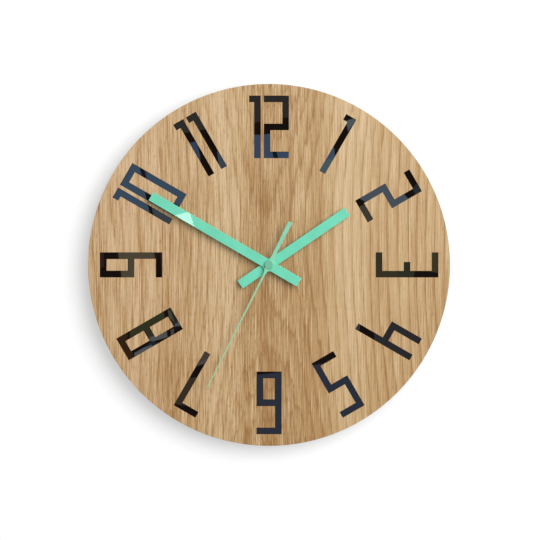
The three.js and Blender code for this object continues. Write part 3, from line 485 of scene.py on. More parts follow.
def oak_veneer():
    """Flat-sawn oak veneer, sanded and oiled."""
    # It shows pale and dark bands, thin growth lines that arch in the middle, long fibres and dark pores
    tone = settings().oak
    material, add, place = new_material("oak_veneer_oiled")
    point = add("SeparateXYZ", {0: place}).outputs
    drawn = add("VectorMath", {0: place, 1: (1, 1, 0.2)}, operation="MULTIPLY")
    # The bands and lines sway as the trunk did, less on the right
    across = point["X"]
    to_right = {"Value": across, **CALMER}
    steady = add("MapRange", {**to_right, "To Min": 1.0, "To Max": 0.3})
    for width, reach in OAK_SWAYS:
        sway = add("TexNoise", {"Vector": drawn, "Scale": 1 / width, "Detail": 1.0})
        centred = add("Math", {0: sway, 1: 0.5}, operation="SUBTRACT")
        aside = add("Math", {0: centred, 1: steady}, operation="MULTIPLY")
        across = add("Math", {0: aside, 1: reach, 2: across}, operation="MULTIPLY_ADD")
    share_across = add("MapRange", {"Value": across, "From Min": -BOARD_RADIUS, "From Max": BOARD_RADIUS})
    bands = add("ValToRGB", {0: share_across}, stops=OAK_BANDS)
    bands.color_ramp.interpolation = "B_SPLINE"
    # Paler towards the top: partly the veneer's own tone, partly painted light that falls off towards the
    # bottom
    bands = add("Math", {0: point["Z"], 1: PALER_UP, 2: bands}, operation="MULTIPLY_ADD")
    # The growth lines lie where the sheet cuts the trunk's rings
    long_way = add("VectorMath", {0: place, 1: (1, 1, 0.05)}, operation="MULTIPLY")
    ragged = add("TexNoise", {"Vector": long_way, "Scale": 1 / (2.6 * MM), "Detail": 2.0})
    height = add("Math", {0: ragged, 1: ARCH_RAGGED, 2: point["Z"]}, operation="MULTIPLY_ADD")
    height = add("Math", {0: height, 1: ARCH_DROP}, operation="SUBTRACT")
    squared = add("Math", {0: height, 1: height}, operation="MULTIPLY")
    depth = add("Math", {0: squared, 1: ARCH_BEND, 2: tone.pith}, operation="MULTIPLY_ADD")
    from_pith = add("VectorMath", {0: add("CombineXYZ", {0: across, 1: depth})}, operation="LENGTH")
    rings = add("Math", {0: from_pith.outputs["Value"], 1: tone.ring}, operation="DIVIDE")
    season = add("Math", {0: rings}, operation="FRACT")
    growth = add("ValToRGB", {0: season}, stops=[
        (0.0, 0.0), (0.08, 0.62), (0.3, 0.72), (0.62, 0.6), (0.88, 0.42), (1.0, 0.0),
    ])
    centred = add("Math", {0: growth, 1: 0.55}, operation="SUBTRACT")
    # The lines stand clearer, and the fibres fainter, on the right
    clear = add("MapRange", {**to_right, "To Min": 0.45, "To Max": 0.54})
    calm = add("MapRange", {**to_right, "To Min": 1.0, "To Max": 0.6})
    shade = add("Math", {0: centred, 1: clear, 2: bands}, operation="MULTIPLY_ADD")
    for width, length_share, weight in OAK_FIBRES:
        long_way = add("VectorMath", {0: place, 1: (1, 1, length_share)}, operation="MULTIPLY")
        fibres = add("TexNoise", {"Vector": long_way, "Scale": 1 / width, "Detail": 1.0})
        centred = add("Math", {0: fibres, 1: 0.5}, operation="SUBTRACT")
        strength = add("Math", {0: calm, 1: weight}, operation="MULTIPLY")
        shade = add("Math", {0: centred, 1: strength, 2: shade}, operation="MULTIPLY_ADD")
    tones = zip((0.0, 0.25, 0.52, 0.84), (tone.line, tone.dark, tone.tan, tone.light))
    wood = add("ValToRGB", {0: shade}, stops=list(tones))
    redder = add("MapRange", {"Value": point["X"], **REDDER})
    wood = add("Mix", {0: redder, 6: wood, 7: RED_SHADE}, data_type="RGBA", blend_type="MULTIPLY")
    dash = add("VectorMath", {0: place, 1: (1, 1, 0.1)}, operation="MULTIPLY")
    vessels = add("TexNoise", {"Vector": dash, "Scale": 1 / (0.6 * MM), "Detail": 1.0})
    open_vessels = add("ValToRGB", {0: vessels}, stops=[(0.56, 0.0), (0.68, 0.9)])
    early = add("ValToRGB", {0: shade}, stops=[(0.3, 1.0), (0.75, 0.35)])
    open_early = add("Math", {0: open_vessels, 1: early}, operation="MULTIPLY")
    pores = add("Math", {0: open_early, 1: calm}, operation="MULTIPLY")
    wood = add("Mix", {0: pores, 6: wood, 7: tone.pore}, data_type="RGBA")
    rough = add("Math", {0: fibres, 1: 0.14, 2: 0.42}, operation="MULTIPLY_ADD")
    relief = add("Math", {0: fibres, 1: pores}, operation="SUBTRACT")
    cover_with(add, wood, rough, relief, 0.04 * MM, IOR=1.5)
    return material


def ply_cut():
    """The face that a laser leaves through oak ply."""
    # It is scorched brown, with the layers as paler and darker lines and soot in patches
    tone = settings().oak
    material, add, place = new_material("oak_ply_laser_cut")
    inwards = add("SeparateXYZ", {0: place}).outputs["Y"]
    layers = add("Math", {0: inwards, 1: 1 / LAYER, 2: -BOARD_FRONT / LAYER}, operation="MULTIPLY_ADD")
    within = add("Math", {0: layers}, operation="FRACT")
    plies = add("ValToRGB", {0: within}, stops=[
        (0.0, shaded(tone.burnt, 0.4)), (0.12, tone.burnt), (0.5, shaded(tone.burnt, 2.2)),
        (0.9, tone.burnt), (1.0, shaded(tone.burnt, 0.4)),
    ])
    soot = add("TexNoise", {"Vector": place, "Scale": 1 / (2.5 * MM), "Detail": 4.0, "Roughness": 0.65})
    sooty = add("ValToRGB", {0: soot}, stops=[(0.35, 0.75), (0.65, 0.1)])
    cut = add("Mix", {0: sooty, 6: plies, 7: shaded(tone.burnt, 0.3)}, data_type="RGBA")
    rough = add("ValToRGB", {0: soot}, stops=[(0.3, 0.8), (0.7, 0.6)])
    cover_with(add, cut, rough, soot, 0.06 * MM, IOR=1.5)
    return material


def acrylic_sheet():
    """Cast acrylic sheet, solid black."""
    # It is a deep black with a mirror gloss in front, and dusty with wiped streaks on the back
    material, add, place = new_material("acrylic_cast_black_gloss")
    haze = add("TexNoise", {"Vector": place, "Scale": 1 / (24 * MM), "Detail": 3.0, "Roughness": 0.6})
    clean = add("ValToRGB", {0: haze}, stops=[(0.3, linear("#060709")), (0.7, linear("#0a0b0e"))])
    gloss = add("ValToRGB", {0: haze}, stops=[(0.35, 0.0), (0.75, 0.02)])
    wiped = add("VectorMath", {0: place, 1: (0.35, 1, 1)}, operation="MULTIPLY")
    streaks = add("TexNoise", {"Vector": wiped, "Scale": 1 / (5 * MM), "Detail": 5.0, "Distortion": 2.0})
    dust = add("Math", {0: streaks, 1: haze}, operation="MULTIPLY")
    dusty = add("ValToRGB", {0: dust}, stops=[(0.18, linear("#0a0b0d")), (0.42, linear("#1f2022"))])
    facing = add("SeparateXYZ", {0: add("NewGeometry").outputs["Normal"]}).outputs["Y"]
    behind = add("MapRange", {"Value": facing, "From Min": 0.5, "From Max": 0.9})
    colour = add("Mix", {0: behind, 6: clean, 7: dusty}, data_type="RGBA")
    rough = add("Math", {0: behind, 1: 0.12, 2: gloss}, operation="MULTIPLY_ADD")
    cover_with(add, colour, rough, haze, 0.0005 * MM, IOR=1.49)
    return material


def stoved_enamel(name, tone, thin_tone, low=0.012, high=0.02, coat=0.6):
    """Enamel stoved on stamped aluminium, glossy by default, with another tone where it thins."""
    # It is an even, bright coat with a slight orange peel in its reflections
    material, add, place = new_material(name)
    drift = add("TexNoise", {"Vector": place, "Scale": 1 / (9 * MM), "Detail": 2.0})
    thick, thin = (
        add("ValToRGB", {0: drift}, stops=[(0.3, shaded(enamel, 0.95)), (0.7, shaded(enamel, 1.04))])
        for enamel in (tone, thin_tone)
    )
    level = add("SeparateXYZ", {0: place}).outputs["Z"]
    thinned = add("MapRange", {"Value": level, **NEEDLE_TONE})
    colour = add("Mix", {0: thinned, 6: thick, 7: thin}, data_type="RGBA")
    peel = add("TexNoise", {"Vector": place, "Scale": 1 / (0.9 * MM), "Detail": 1.0})
    rough = add("ValToRGB", {0: peel}, stops=[(0.3, low), (0.7, high)])
    cover_with(add, colour, rough, peel, 0.00002 * MM, IOR=1.5, Coat_Weight=coat, Coat_Roughness=0.01)
    return material


def moulded(name, tone, texture, depth, low, high):
    """Moulded plastic, rubber, resin or ferrite."""
    # It is evenly coloured, a little paler where the melt flowed, with the fine texture of its mould
    material, add, place = new_material(name)
    flow = add("TexNoise", {"Vector": place, "Scale": 1 / (14 * MM), "Detail": 3.0})
    colour = add("ValToRGB", {0: flow}, stops=[(0.3, shaded(tone, 0.84)), (0.7, shaded(tone, 1.1))])
    grain = add("TexNoise", {"Vector": place, "Scale": 1 / texture, "Detail": 3.0, "Roughness": 0.6})
    rough = add("ValToRGB", {0: grain}, stops=[(0.3, low), (0.7, high)])
    cover_with(add, colour, rough, grain, depth, IOR=1.53)
    return material


def turned_metal(name, tone):
    """Bar stock turned on a lathe."""
    # It has fine rings round the hands' axis, drawn 0.15 mm apart so that they show, and light tarnish
    material, add, place = new_material(name)
    flat = add("VectorMath", {0: place, 1: (1, 0, 1)}, operation="MULTIPLY")
    reach = add("VectorMath", {0: flat}, operation="LENGTH").outputs["Value"]
    turns = add("Math", {0: reach, 1: 2 * math.pi / (0.15 * MM)}, operation="MULTIPLY")
    rings = add("Math", {0: turns}, operation="SINE")
    tarnish = add("TexNoise", {"Vector": place, "Scale": 1 / (3 * MM), "Detail": 4.0, "Roughness": 0.6})
    colour = add("ValToRGB", {0: tarnish}, stops=[(0.35, shaded(tone, 0.72)), (0.65, tone)])
    rough = add("ValToRGB", {0: tarnish}, stops=[(0.3, 0.36), (0.7, 0.2)])
    cover_with(add, colour, rough, rings, 0.003 * MM, Metallic=1.0)
    return material


def rolled_metal(name, tone, low, high):
    """Rolled sheet, punched and folded."""
    # It has fine lines along the strip, drawn 0.12 mm apart so that they show, and dull spots
    material, add, place = new_material(name)
    drawn = add("VectorMath", {0: place, 1: (1, 1, 0.1)}, operation="MULTIPLY")
    lines = add("TexNoise", {"Vector": drawn, "Scale": 1 / (0.12 * MM), "Detail": 2.0})
    spots = add("TexNoise", {"Vector": place, "Scale": 1 / (2.2 * MM), "Detail": 4.0, "Roughness": 0.6})
    colour = add("ValToRGB", {0: spots}, stops=[(0.35, shaded(tone, 0.7)), (0.65, tone)])
    rough = add("ValToRGB", {0: lines}, stops=[(0.3, low), (0.7, high)])
    cover_with(add, colour, rough, lines, 0.003 * MM, Metallic=1.0)
    return material


def wound_wire():
    """Enamelled copper wire, wound in even layers."""
    # Its turns are fine bright bands round the coil, drawn 0.2 mm apart so that they show
    material, add, place = new_material("copper_wire_enamelled_wound")
    along = add("SeparateXYZ", {0: place}).outputs["X"]
    turns = add("Math", {0: along, 1: 2 * math.pi / (0.2 * MM)}, operation="MULTIPLY")
    wires = add("Math", {0: turns}, operation="SINE")
    spread = add("TexNoise", {"Vector": place, "Scale": 1 / (1.5 * MM), "Detail": 3.0})
    colour = add("ValToRGB", {0: spread}, stops=[(0.3, linear("#a8592f")), (0.7, linear("#c66e3d"))])
    rough = add("ValToRGB", {0: spread}, stops=[(0.3, 0.25), (0.7, 0.4)])
    cover_with(add, colour, rough, wires, 0.05 * MM, Metallic=0.9)
    return material


def circuit_laminate():
    """Glass fibre laminate under green solder resist."""
    # Copper tracks lie under the resist as paler lines that jog, and tinned pads stand clear of it
    material, add, place = new_material("glass_fibre_solder_resist")
    point = add("SeparateXYZ", {0: place}).outputs
    flat = add("CombineXYZ", {0: point["X"], 1: point["Z"]})
    along = add("CombineXYZ", {0: point["X"]})
    wander = add("TexNoise", {"Vector": along, "Scale": 1 / (15 * MM), "Detail": 0.0})
    jog = add("Math", {0: wander, 1: 0.12}, operation="SNAP")
    row = add("Math", {0: jog, 1: 5 * MM, 2: point["Z"]}, operation="MULTIPLY_ADD")
    rows = add("Math", {0: row, 1: 1 / (1.1 * MM)}, operation="MULTIPLY")
    within = add("Math", {0: rows}, operation="FRACT")
    tracks = add("ValToRGB", {0: within}, stops=[(0.3, 0.0), (0.34, 1.0), (0.64, 1.0), (0.68, 0.0)])
    cells = add("TexVoronoi", {"Vector": flat, "Scale": 1 / (3.4 * MM), "Randomness": 0.7})
    pads = add("ValToRGB", {0: cells.outputs["Distance"]}, stops=[(0.2, 1.0), (0.23, 0.0)])
    resist = add("Mix", {0: tracks, 6: linear("#1c5437"), 7: linear("#3c7d53")}, data_type="RGBA")
    colour = add("Mix", {0: pads, 6: resist, 7: linear("#b9b6a8")}, data_type="RGBA")
    gloss = add("TexNoise", {"Vector": place, "Scale": 1 / (3 * MM), "Detail": 3.0})
    rough = add("ValToRGB", {0: gloss}, stops=[(0.3, 0.25), (0.7, 0.4)])
    raised = add("Math", {0: tracks, 1: pads}, operation="MAXIMUM")
    cover_with(add, colour, rough, raised, 0.03 * MM, IOR=1.55)
    return material


def cell_foil():
    """Printed foil shrunk round the cell."""
    # It is a two-tone metallic wrap with a pale ring by the positive end, and faint creases from shrinking
    # whose hollows are darkened by painted shade
    tone = settings().movement.sleeve
    material, add, place = new_material("foil_printed_shrunk")
    along = add("SeparateXYZ", {0: place}).outputs["X"]
    from_end = add("MapRange", {"Value": along, "From Min": -25 * MM, "From Max": 25 * MM})
    bands = add("ValToRGB", {0: from_end}, stops=[
        (0.0, linear("#b9bcbf")), (0.04, tone), (0.68, shaded(tone, 0.35)), (0.7, linear("#c3c6c8")),
    ])
    bands.color_ramp.interpolation = "CONSTANT"
    creases = add("TexNoise", {"Vector": place, "Scale": 1 / (4 * MM), "Detail": 3.0, "Roughness": 0.6})
    # Painted shade: the colour darkens where the crease relief sinks
    painted_crease_shade = add("ValToRGB", {0: creases}, stops=[(0.3, 0.86), (0.7, 1.0)])
    colour = add("Mix", {0: 1.0, 6: bands, 7: painted_crease_shade}, data_type="RGBA", blend_type="MULTIPLY")
    rough = add("ValToRGB", {0: creases}, stops=[(0.3, 0.24), (0.7, 0.38)])
    cover_with(add, colour, rough, creases, 0.03 * MM, Metallic=0.6)
    return material


# Pieces
class MakeDial(bpy.types.Operator):
    """Makes the oak dial with its cut numerals, and the counters that lie inside the closed digits."""
    bl_idname = "wall_clock.make_dial"
    bl_label = "Oak dial"

    def execute(self, context):
        wood, cut = oak_veneer(), ply_cut()
        stations = rounded_stations(BOARD_REAR, BOARD_FRONT, settings().oak.edge)
        for node in ("oak_board", "counter_six", "counter_eight_inner", "counter_eight_outer",
                     "counter_nine", "counter_ten"):
            data = plate_mesh(f"{node}_cut", face_loops(node, ROUND_SIDES), stations)
            add_piece(data, (wood, cut), node)
        return {"FINISHED"}


class MakeBacking(bpy.types.Operator):
    """Makes the black disc that shows through the numerals."""
    bl_idname = "wall_clock.make_backing"
    bl_label = "Black disc"

    def execute(self, context):
        low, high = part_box("backing_disc")
        stations = rounded_stations(high.y, low.y, settings().oak.edge)
        data = plate_mesh("backing_sheet", face_loops("backing_disc", ROUND_SIDES), stations)
        add_piece(data, [acrylic_sheet()], "backing_disc")
        return {"FINISHED"}


class MakeHands(bpy.types.Operator):
    """Makes the hour and minute bars and the second hand with its cap."""
    bl_idname = "wall_clock.make_hands"
    bl_label = "Hands"

    def execute(self, context):
        hands = settings().hands
        mint = stoved_enamel("enamel_stoved_mint", hands.mint, hands.mint)
        needle = stoved_enamel("enamel_stoved_pale_mint", hands.tail, hands.needle)
        for node, edge, enamel in (("hour_hand", hands.edge, mint), ("minute_hand", hands.edge, mint),
                                   ("second_hand", hands.needle_edge, needle)):
            low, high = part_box(node)
            stations = rounded_stations(high.y, low.y, edge)
            add_piece(plate_mesh(f"{node}_stamped", face_loops(node), stations), [enamel], node)
        cap = stoved_enamel("enamel_satin_grey_mint", hands.cap, hands.cap, 0.18, 0.26, 0.0)
        add_piece(dished_cap("cap_pressed", "second_hand_cap"), [cap], "second_hand_cap")
        return {"FINISHED"}


class MakeClamp(bpy.types.Operator):
    """Makes the threaded bush, its nut and the washers that clamp the dial to the movement."""
    bl_idname = "wall_clock.make_clamp"
    bl_label = "Clamp"

    def execute(self, context):
        fine = settings().movement.fine_edge
        brass = turned_metal("brass_turned", settings().movement.brass)
        add_piece(threaded_mesh("bush_with_thread", "threaded_bush", settings().movement.thread), [brass],
                  "threaded_bush")
        finish(fine, brass, "brass_washer", "hex_nut")
        rubber = moulded("rubber_moulded_black", linear("#17171a"), 0.6 * MM, 0.03 * MM, 0.6, 0.8)
        finish(2 * fine, rubber, "rubber_washer")
        steel = turned_metal("steel_turned", linear("#c9c8c4"))
        finish(fine, steel, "hour_hand_collet", "minute_hand_collet")
        return {"FINISHED"}


class MakeCase(bpy.types.Operator):
    """Makes the movement's case, its set knob and the bridge plate inside."""
    bl_idname = "wall_clock.make_case"
    bl_label = "Case"

    def execute(self, context):
        movement = settings().movement
        abs_black = moulded("abs_spark_textured_black", movement.case_black, 0.6 * MM, 0.08 * MM, 0.34, 0.6)
        finish(movement.edge, abs_black, "front_cover", "rear_case")
        knob = moulded("acetal_moulded_knob", movement.acetal, 0.3 * MM, 0.01 * MM, 0.3, 0.42)
        finish(movement.fine_edge, knob, "set_knob")
        bridge = moulded("polystyrene_moulded_bridge", movement.bridge, 0.4 * MM, 0.01 * MM, 0.35, 0.5)
        finish(movement.fine_edge, bridge, "gear_bridge")
        return {"FINISHED"}


class MakeTrain(bpy.types.Operator):
    """Makes the wheels, the arbors and the rotor."""
    bl_idname = "wall_clock.make_train"
    bl_label = "Wheels"

    def execute(self, context):
        movement = settings().movement
        acetal = moulded("acetal_moulded_wheels", movement.acetal, 0.2 * MM, 0.004 * MM, 0.3, 0.42)
        finish(movement.tooth_edge, acetal, "rotor_pinion", "fifth_wheel", "second_wheel", "third_wheel",
               "centre_wheel", "minute_arbor", "minute_wheel", "hour_wheel")
        finish(movement.fine_edge, turned_metal("steel_drawn_arbor", linear("#cfcfcc")), "second_arbor")
        ferrite = moulded("ferrite_sintered", linear("#2b2c2f"), 0.15 * MM, 0.01 * MM, 0.45, 0.65)
        finish(movement.fine_edge, ferrite, "rotor_magnet")
        return {"FINISHED"}


class MakeMotor(bpy.types.Operator):
    """Makes the coil and the stator that drive the rotor."""
    bl_idname = "wall_clock.make_motor"
    bl_label = "Stepping motor"

    def execute(self, context):
        fine = settings().movement.fine_edge
        iron = rolled_metal("soft_iron_punched", linear("#8d8c88"), 0.3, 0.48)
        finish(fine, iron, "coil_core", "stator_plate")
        nylon = moulded("nylon_moulded_cream", linear("#e3dcc4"), 0.3 * MM, 0.01 * MM, 0.35, 0.5)
        finish(fine, nylon, "coil_bobbin")
        finish(fine, wound_wire(), "coil_winding")
        return {"FINISHED"}


class MakeCircuit(bpy.types.Operator):
    """Makes the circuit board, the driver under its resin drop, and the crystal's can."""
    bl_idname = "wall_clock.make_circuit"
    bl_label = "Circuit"

    def execute(self, context):
        fine = settings().movement.fine_edge
        finish(fine, circuit_laminate(), "circuit_board")
        epoxy = moulded("epoxy_drop_cured", linear("#121214"), 1.2 * MM, 0.01 * MM, 0.15, 0.3)
        finish(2 * fine, epoxy, "driver_chip")
        finish(fine, turned_metal("nickel_drawn_can", linear("#cfcbc0")), "quartz_crystal")
        return {"FINISHED"}


class MakeSupply(bpy.types.Operator):
    """Makes the cell and the two contact strips."""
    bl_idname = "wall_clock.make_supply"
    bl_label = "Cell and contacts"

    def execute(self, context):
        fine = settings().movement.fine_edge
        finish(2 * fine, cell_foil(), "battery_jacket")
        plate = rolled_metal("nickel_plated_strip", linear("#d3cfc4"), 0.22, 0.36)
        finish(fine, plate, "battery_positive_cap", "battery_negative_cap", "positive_contact",
               "negative_contact")
        return {"FINISHED"}


# What the black gloss mirrors: the name, tone and outline of each large patch, in millimetres of the dial
MIRRORED = (
    ("grey", "#2a2625", (-22, 128.5), (22, 135.5), (22, 160), (-22, 160)),
    ("slate", "#354459", (-22, 118.3), (-6, 119), (22, 122.5), (22, 94), (-22, 94)),
    ("dark", "#0c1413", (2.5, 106), (6.2, 106), (9.4, 94), (5, 94)),
    ("grey", "#2b2a27", (-92, 121), (-76, 120.4), (-67, 122.6), (-56, 124), (-56, 150), (-92, 150)),
    ("blue", "#304054", (-78, 110.2), (-67.3, 112.7), (-64.9, 108.5), (-62.9, 99.5), (-62.6, 92),
                        (-78, 104)),
    ("blue", "#373f4c", (-47.6, 104), (-36, 97), (-34, 80), (-45, 84)),
    ("slate", "#364859", (-148, 98), (-118.8, 92), (-115, 76), (-112, 60), (-107, 40), (-148, 40)),
    ("slate", "#36475a", (-114.5, 92), (-68, 72), (-62, 42), (-106, 68), (-111.4, 77)),
    ("slate", "#383e45", (-108.4, 57.6), (-72, 36), (-76, 30), (-102.5, 32)),
    ("olive", "#4a4134", (-138.5, 16), (-106, 16), (-103.6, 4), (-122, 4), (-121, -12), (-134.5, -12)),
    ("brown", "#2c1f1b", (-99.6, 16), (-95, 16), (-95, -12), (-98, -12)),
    ("brown", "#2a1a17", (-158, 16), (-151, 16), (-150.5, -2), (-158, -3)),
    ("brown", "#301d0f", (-142, -66), (-128.5, -60), (-130, -70), (-124, -80.8), (-124.4, -86.5),
                         (-127.6, -90)),
    ("green", "#30301d", (-127, -66.5), (-127, -58), (-96.5, -41), (-94.8, -49.5), (-108, -56.7)),
    ("green", "#302d22", (-114.6, -58), (-106, -54), (-103.2, -66), (-109.8, -67)),
    ("navy", "#1a202b", (-112.1, -73.1), (-106.4, -69.2), (-102.4, -71.2), (-106, -75)),
    ("ash", "#4c4f52", (-122.9, -80.4), (-113.9, -75.2), (-107, -73), (-105, -76), (-122.7, -86)),
    ("ash", "#4c4e4e", (-109.2, -66.2), (-93.4, -60.5), (-92.6, -65.9), (-105.7, -69.8), (-109.4, -69.2)),
    ("olive", "#25251a", (-90.5, -38), (-80.5, -50), (-79, -54), (-86.4, -55.4), (-92, -48)),
    ("ash", "#404237", (-92.6, -40), (-89.5, -42.6), (-86.6, -52), (-91.4, -48.4)),
    ("ash", "#48494c", (-86.4, -54.4), (-81, -50.6), (-78.6, -55.6), (-86.6, -56.4)),
    ("brown", "#463d3b", (-89.8, -59.4), (-86.6, -58), (-87, -63.4), (-89.6, -65)),
    ("grey", "#443a33", (-67, -92.8), (-55, -89.2), (-48, -74), (-64, -74)),
    ("ash", "#47474b", (-64.5, -91), (-56.2, -88.4), (-54.6, -84.8), (-62.5, -89)),
    ("olive", "#332b20", (-79, -105.6), (-66, -102), (-72, -124), (-76.6, -128.5), (-92, -126)),
    ("navy", "#292e39", (-14, -100.6), (14, -97.6), (14, -158), (-14, -158)),
    ("navy", "#282e39", (36, -92.4), (50, -89.8), (68, -88), (92, -96), (92, -148), (36, -148)),
    ("ash", "#36323a", (76, -48), (84.4, -50), (82.2, -61), (76, -64)),
    ("navy", "#28272b", (95.6, -57), (99, -44), (144, -44), (144, -92), (97.6, -92)),
    ("olive", "#342f21", (95, 14), (104, 14), (103, -3), (117, -2), (117, -12), (95, -12)),
    ("olive", "#2a2c1f", (117, 6), (131, 6), (133.5, -3), (132, -12), (117, -12)),
    ("green", "#38341f", (145.5, 14), (156, 14), (156, -7.6), (147.2, -6)),
    ("slate", "#454e58", (83, 60.5), (86.5, 75), (106, 80), (122, 66), (127.5, 60), (118, 48), (104, 48),
                         (89.6, 57)),
    ("ash", "#252a2c", (131.2, 69), (136, 76), (142, 70), (134, 64)),
    ("olive", "#3d392f", (81.5, 53), (88, 55.5), (99, 44), (92, 34)),
    ("ash", "#4c555a", (70.2, 131.6), (82, 135), (74.4, 125.6), (72.4, 121.4)),
    ("blue", "#3a4a5d", (56.6, 113), (59.6, 106), (60.2, 96), (44, 90), (44, 104)),
    ("ash", "#46545b", (42, 94.2), (58.5, 97), (58, 80), (42, 80)),
)
# The window's glint on the minute hand, likewise
WINDOW_GLINT = [(-85, 44.9), (-71.9, 48.3), (-67.6, 33), (-86, 40)]
# Glow with which the gloss gives back a patch in its own tone, and the glint's glow
MIRROR_GAIN = 25.8
GLINT_GAIN = 5.6
# The room's depth behind the camera, the steps to each patch and to the glint, and its width in boards
ROOM_DEPTH = 0.2
PATCH_STEP = 1 * MM
GLINT_STEP = 40 * MM
ROOM_WIDTH = 1.1

# Stage
# The camera sensor's width in millimetres, the rear lamp's place, and the corners of a square
SENSOR_WIDTH = 36.0
REAR_LAMP = (-0.9, 2.2, 1.2)
SQUARE = ((-1, -1), (1, -1), (1, 1), (-1, 1))
# The wall's gap behind the case, the floor's width in walls, and where each fades as shares of its reach
WALL_GAP = 0.5 * MM
FLOOR_SPREAD = 4
WALL_FADE = (0.35, 0.7)
FLOOR_FADE = (0.3, 0.8)


def reflected(spot, face, eye, card):
    """Where on the plane y = card an eye sees a spot (x, z) of a face at depth face mirrored."""
    back = (face - card) / (face - eye.y)
    return Vector((spot[0] + (spot[0] - eye.x) * back, card, spot[1] + (spot[1] - eye.z) * back))


def flat_piece(name, corners, material):
    """An object of one flat face."""
    data = bpy.data.meshes.new(name)
    data.from_pydata(corners, [], [range(len(corners))])
    data.materials.append(material)
    return add_object(name, data)


def add_card(name, corners, code, glow):
    """A flat stage piece that shows only in reflections, as a plain glow."""
    material, add, _ = new_material(name)
    add("OutputMaterial", {"Surface": add("Emission", {"Color": linear(code), "Strength": glow})})
    card = flat_piece(name, corners, material)
    card.visible_camera = card.visible_diffuse = card.visible_shadow = card.visible_transmission = False


def add_sheet(name, corners, reach, fades, lift):
    """A pale backdrop seen from its front only, which fades into the white round it."""
    material, add, place = new_material(name)
    pale = add("BsdfDiffuse", {"Color": linear("#d0d0d0")})
    glow = add("Emission", {"Strength": lift})
    front = add("AddShader", {0: pale, 1: glow})
    centre = sum(map(Vector, corners), Vector()) / len(corners)
    offset = add("VectorMath", {0: place, 1: centre}, operation="DISTANCE").outputs["Value"]
    near, far = (reach * part for part in fades)
    fade = add("MapRange", {"Value": offset, "From Min": near, "From Max": far})
    back = add("NewGeometry").outputs["Backfacing"]
    hidden = add("Math", {0: fade, 1: back}, operation="MAXIMUM")
    mixed = add("MixShader", {0: hidden, 1: front, 2: add("BsdfTransparent")})
    add("OutputMaterial", {"Surface": mixed})
    sheet = flat_piece(name, corners, material)
    sheet.visible_diffuse = sheet.visible_glossy = sheet.visible_shadow = False


def add_lamp(name, spot, aim, size, power):
    """A soft round lamp."""
    lamp = bpy.data.lights.new(name, "AREA")
    lamp.shape = "DISK"
    lamp.size = size
    lamp.energy = power
    holder = add_object(name, lamp)
    holder.location = spot
    holder.rotation_euler = (Vector(aim) - Vector(spot)).to_track_quat("-Z", "Y").to_euler()


def add_camera(stage):
    """Sets the camera straight in front of the dial, and gives its place."""
    lens = bpy.data.cameras.new("photo_camera")
    lens.sensor_width = SENSOR_WIDTH
    lens.lens = SENSOR_WIDTH * stage.distance / stage.frame_width
    camera = add_object("photo_camera", lens)
    camera.location = (stage.camera_x, BOARD_FRONT - stage.distance, stage.camera_z)
    camera.rotation_euler = (math.pi / 2, 0.0, 0.0)
    bpy.context.scene.camera = camera
    return camera.location


def add_white_room(stage):
    """A world that looks white and mirrors white, and lights the clock more weakly."""
    world = bpy.data.worlds.new("white_room")
    world.use_nodes = True
    world.node_tree.nodes.clear()
    add = functools.partial(add_node, world.node_tree)
    path = add("LightPath").outputs
    seen = add("Math", {0: path["Is Camera Ray"], 1: path["Is Glossy Ray"]}, operation="MAXIMUM")
    seen = add("Math", {0: seen, 1: path["Is Transmission Ray"]}, operation="MAXIMUM")
    strength = add("Mix", {0: seen, 2: stage.world_light, 3: 1.0}, data_type="FLOAT")
    white = add("Background", {"Color": linear("#ffffff"), "Strength": strength})
    add("OutputWorld", {"Surface": white})
    bpy.context.scene.world = world


def add_lamps(stage):
    """The soft key light in front, above on the right, and a lamp for the back."""
    side, up = math.radians(stage.key_off_axis), math.radians(stage.key_turn)
    toward = Vector((math.sin(side) * math.cos(up), -math.cos(side), math.sin(side) * math.sin(up)))
    # Each lamp has the power that gives a white face on the clock its share of full white
    power = math.pi ** 2 * stage.key_share * stage.key_distance ** 2 / math.cos(side)
    add_lamp("key_light", toward * stage.key_distance, (0, BOARD_FRONT, 0), stage.key_size, power)
    power = math.pi ** 2 * stage.rear_share * Vector(REAR_LAMP).length ** 2
    add_lamp("rear_light", REAR_LAMP, (0, 0, 0), stage.key_size, power)


def add_backdrop(stage):
    """The wall behind the clock and the floor under it."""
    reach = stage.sheet_reach
    wall = [(x * reach, WALL_GAP, z * reach) for x, z in SQUARE]
    add_sheet("pale_wall", wall, reach, WALL_FADE, stage.wall_lift)
    reach = FLOOR_SPREAD * reach
    floor = [(x * reach, y * reach, stage.floor_z) for x, y in SQUARE]
    add_sheet("pale_floor", floor, reach, FLOOR_FADE, stage.wall_lift)


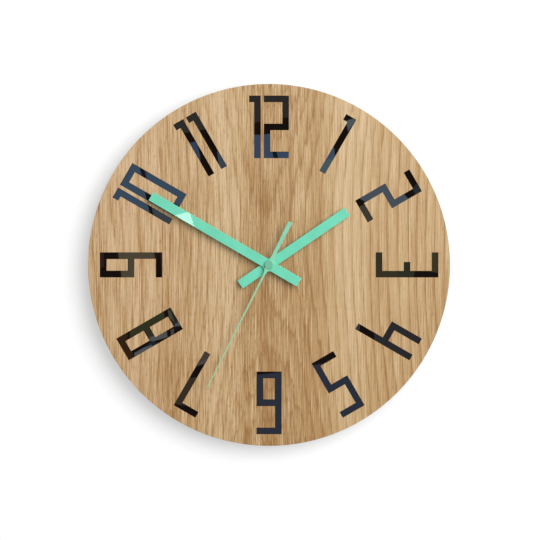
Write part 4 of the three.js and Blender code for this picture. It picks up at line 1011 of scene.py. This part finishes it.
def add_mirrored_room(eye):
    """The dark room behind the camera, its patches, and the window that glints on the minute hand."""
    card = eye.y - ROOM_DEPTH
    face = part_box("backing_disc")[0].y
    edge = ROOM_WIDTH * BOARD_RADIUS
    field = [reflected((x * edge, z * edge), face, eye, card) for x, z in SQUARE]
    add_card("room_behind", field, "#120a06", MIRROR_GAIN)
    for i, (name, code, *outline) in enumerate(MIRRORED):
        level = card + (i + 1) * PATCH_STEP
        spots = [reflected((x * MM, z * MM), face, eye, level) for x, z in outline]
        add_card(f"room_{name}_{i}", spots, code, MIRROR_GAIN)
    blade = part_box("minute_hand")[0].y
    spots = [reflected((x * MM, z * MM), blade, eye, card + GLINT_STEP) for x, z in WINDOW_GLINT]
    add_card("window_glint", spots, "#ffffff", GLINT_GAIN)


class MakeStage(bpy.types.Operator):
    """Sets the camera, the soft studio light, the pale wall and floor, and what the gloss mirrors."""
    bl_idname = "wall_clock.make_stage"
    bl_label = "Stage"

    def execute(self, context):
        stage = settings().stage
        eye = add_camera(stage)
        context.scene.view_settings.view_transform = "Standard"
        add_white_room(stage)
        add_lamps(stage)
        add_backdrop(stage)
        add_mirrored_room(eye)
        return {"FINISHED"}


# Panel
STEPS = (MakeStage, MakeDial, MakeBacking, MakeHands, MakeClamp, MakeCase, MakeTrain, MakeMotor,
         MakeCircuit, MakeSupply)
GROUPS = (OakSettings, HandSettings, MovementSettings, StageSettings, ClockSettings)


class ClockPanel(bpy.types.Panel):
    """Lists the settings and the steps that build the clock."""
    bl_idname = "VIEW3D_PT_wall_clock"
    bl_label = "Wall Clock"
    bl_space_type = "VIEW_3D"
    bl_region_type = "UI"
    bl_category = "Wall Clock"

    def draw(self, context):
        for group_name in ClockSettings.__annotations__:
            group = getattr(context.scene.wall_clock, group_name)
            box = self.layout.box()
            box.label(text=group_name.capitalize())
            for name in type(group).__annotations__:
                box.prop(group, name)
        for step in STEPS:
            self.layout.operator(step.bl_idname)


KINDS = GROUPS + STEPS + (ClockPanel,)


def register():
    for kind in KINDS:
        bpy.utils.register_class(kind)
    bpy.types.Scene.wall_clock = bpy.props.PointerProperty(type=ClockSettings)


def unregister():
    del bpy.types.Scene.wall_clock
    for kind in reversed(KINDS):
        bpy.utils.unregister_class(kind)


def main():
    register()
    for step in STEPS:
        group, name = step.bl_idname.split(".")
        getattr(getattr(bpy.ops, group), name)()


if __name__ == "__main__":
    main()
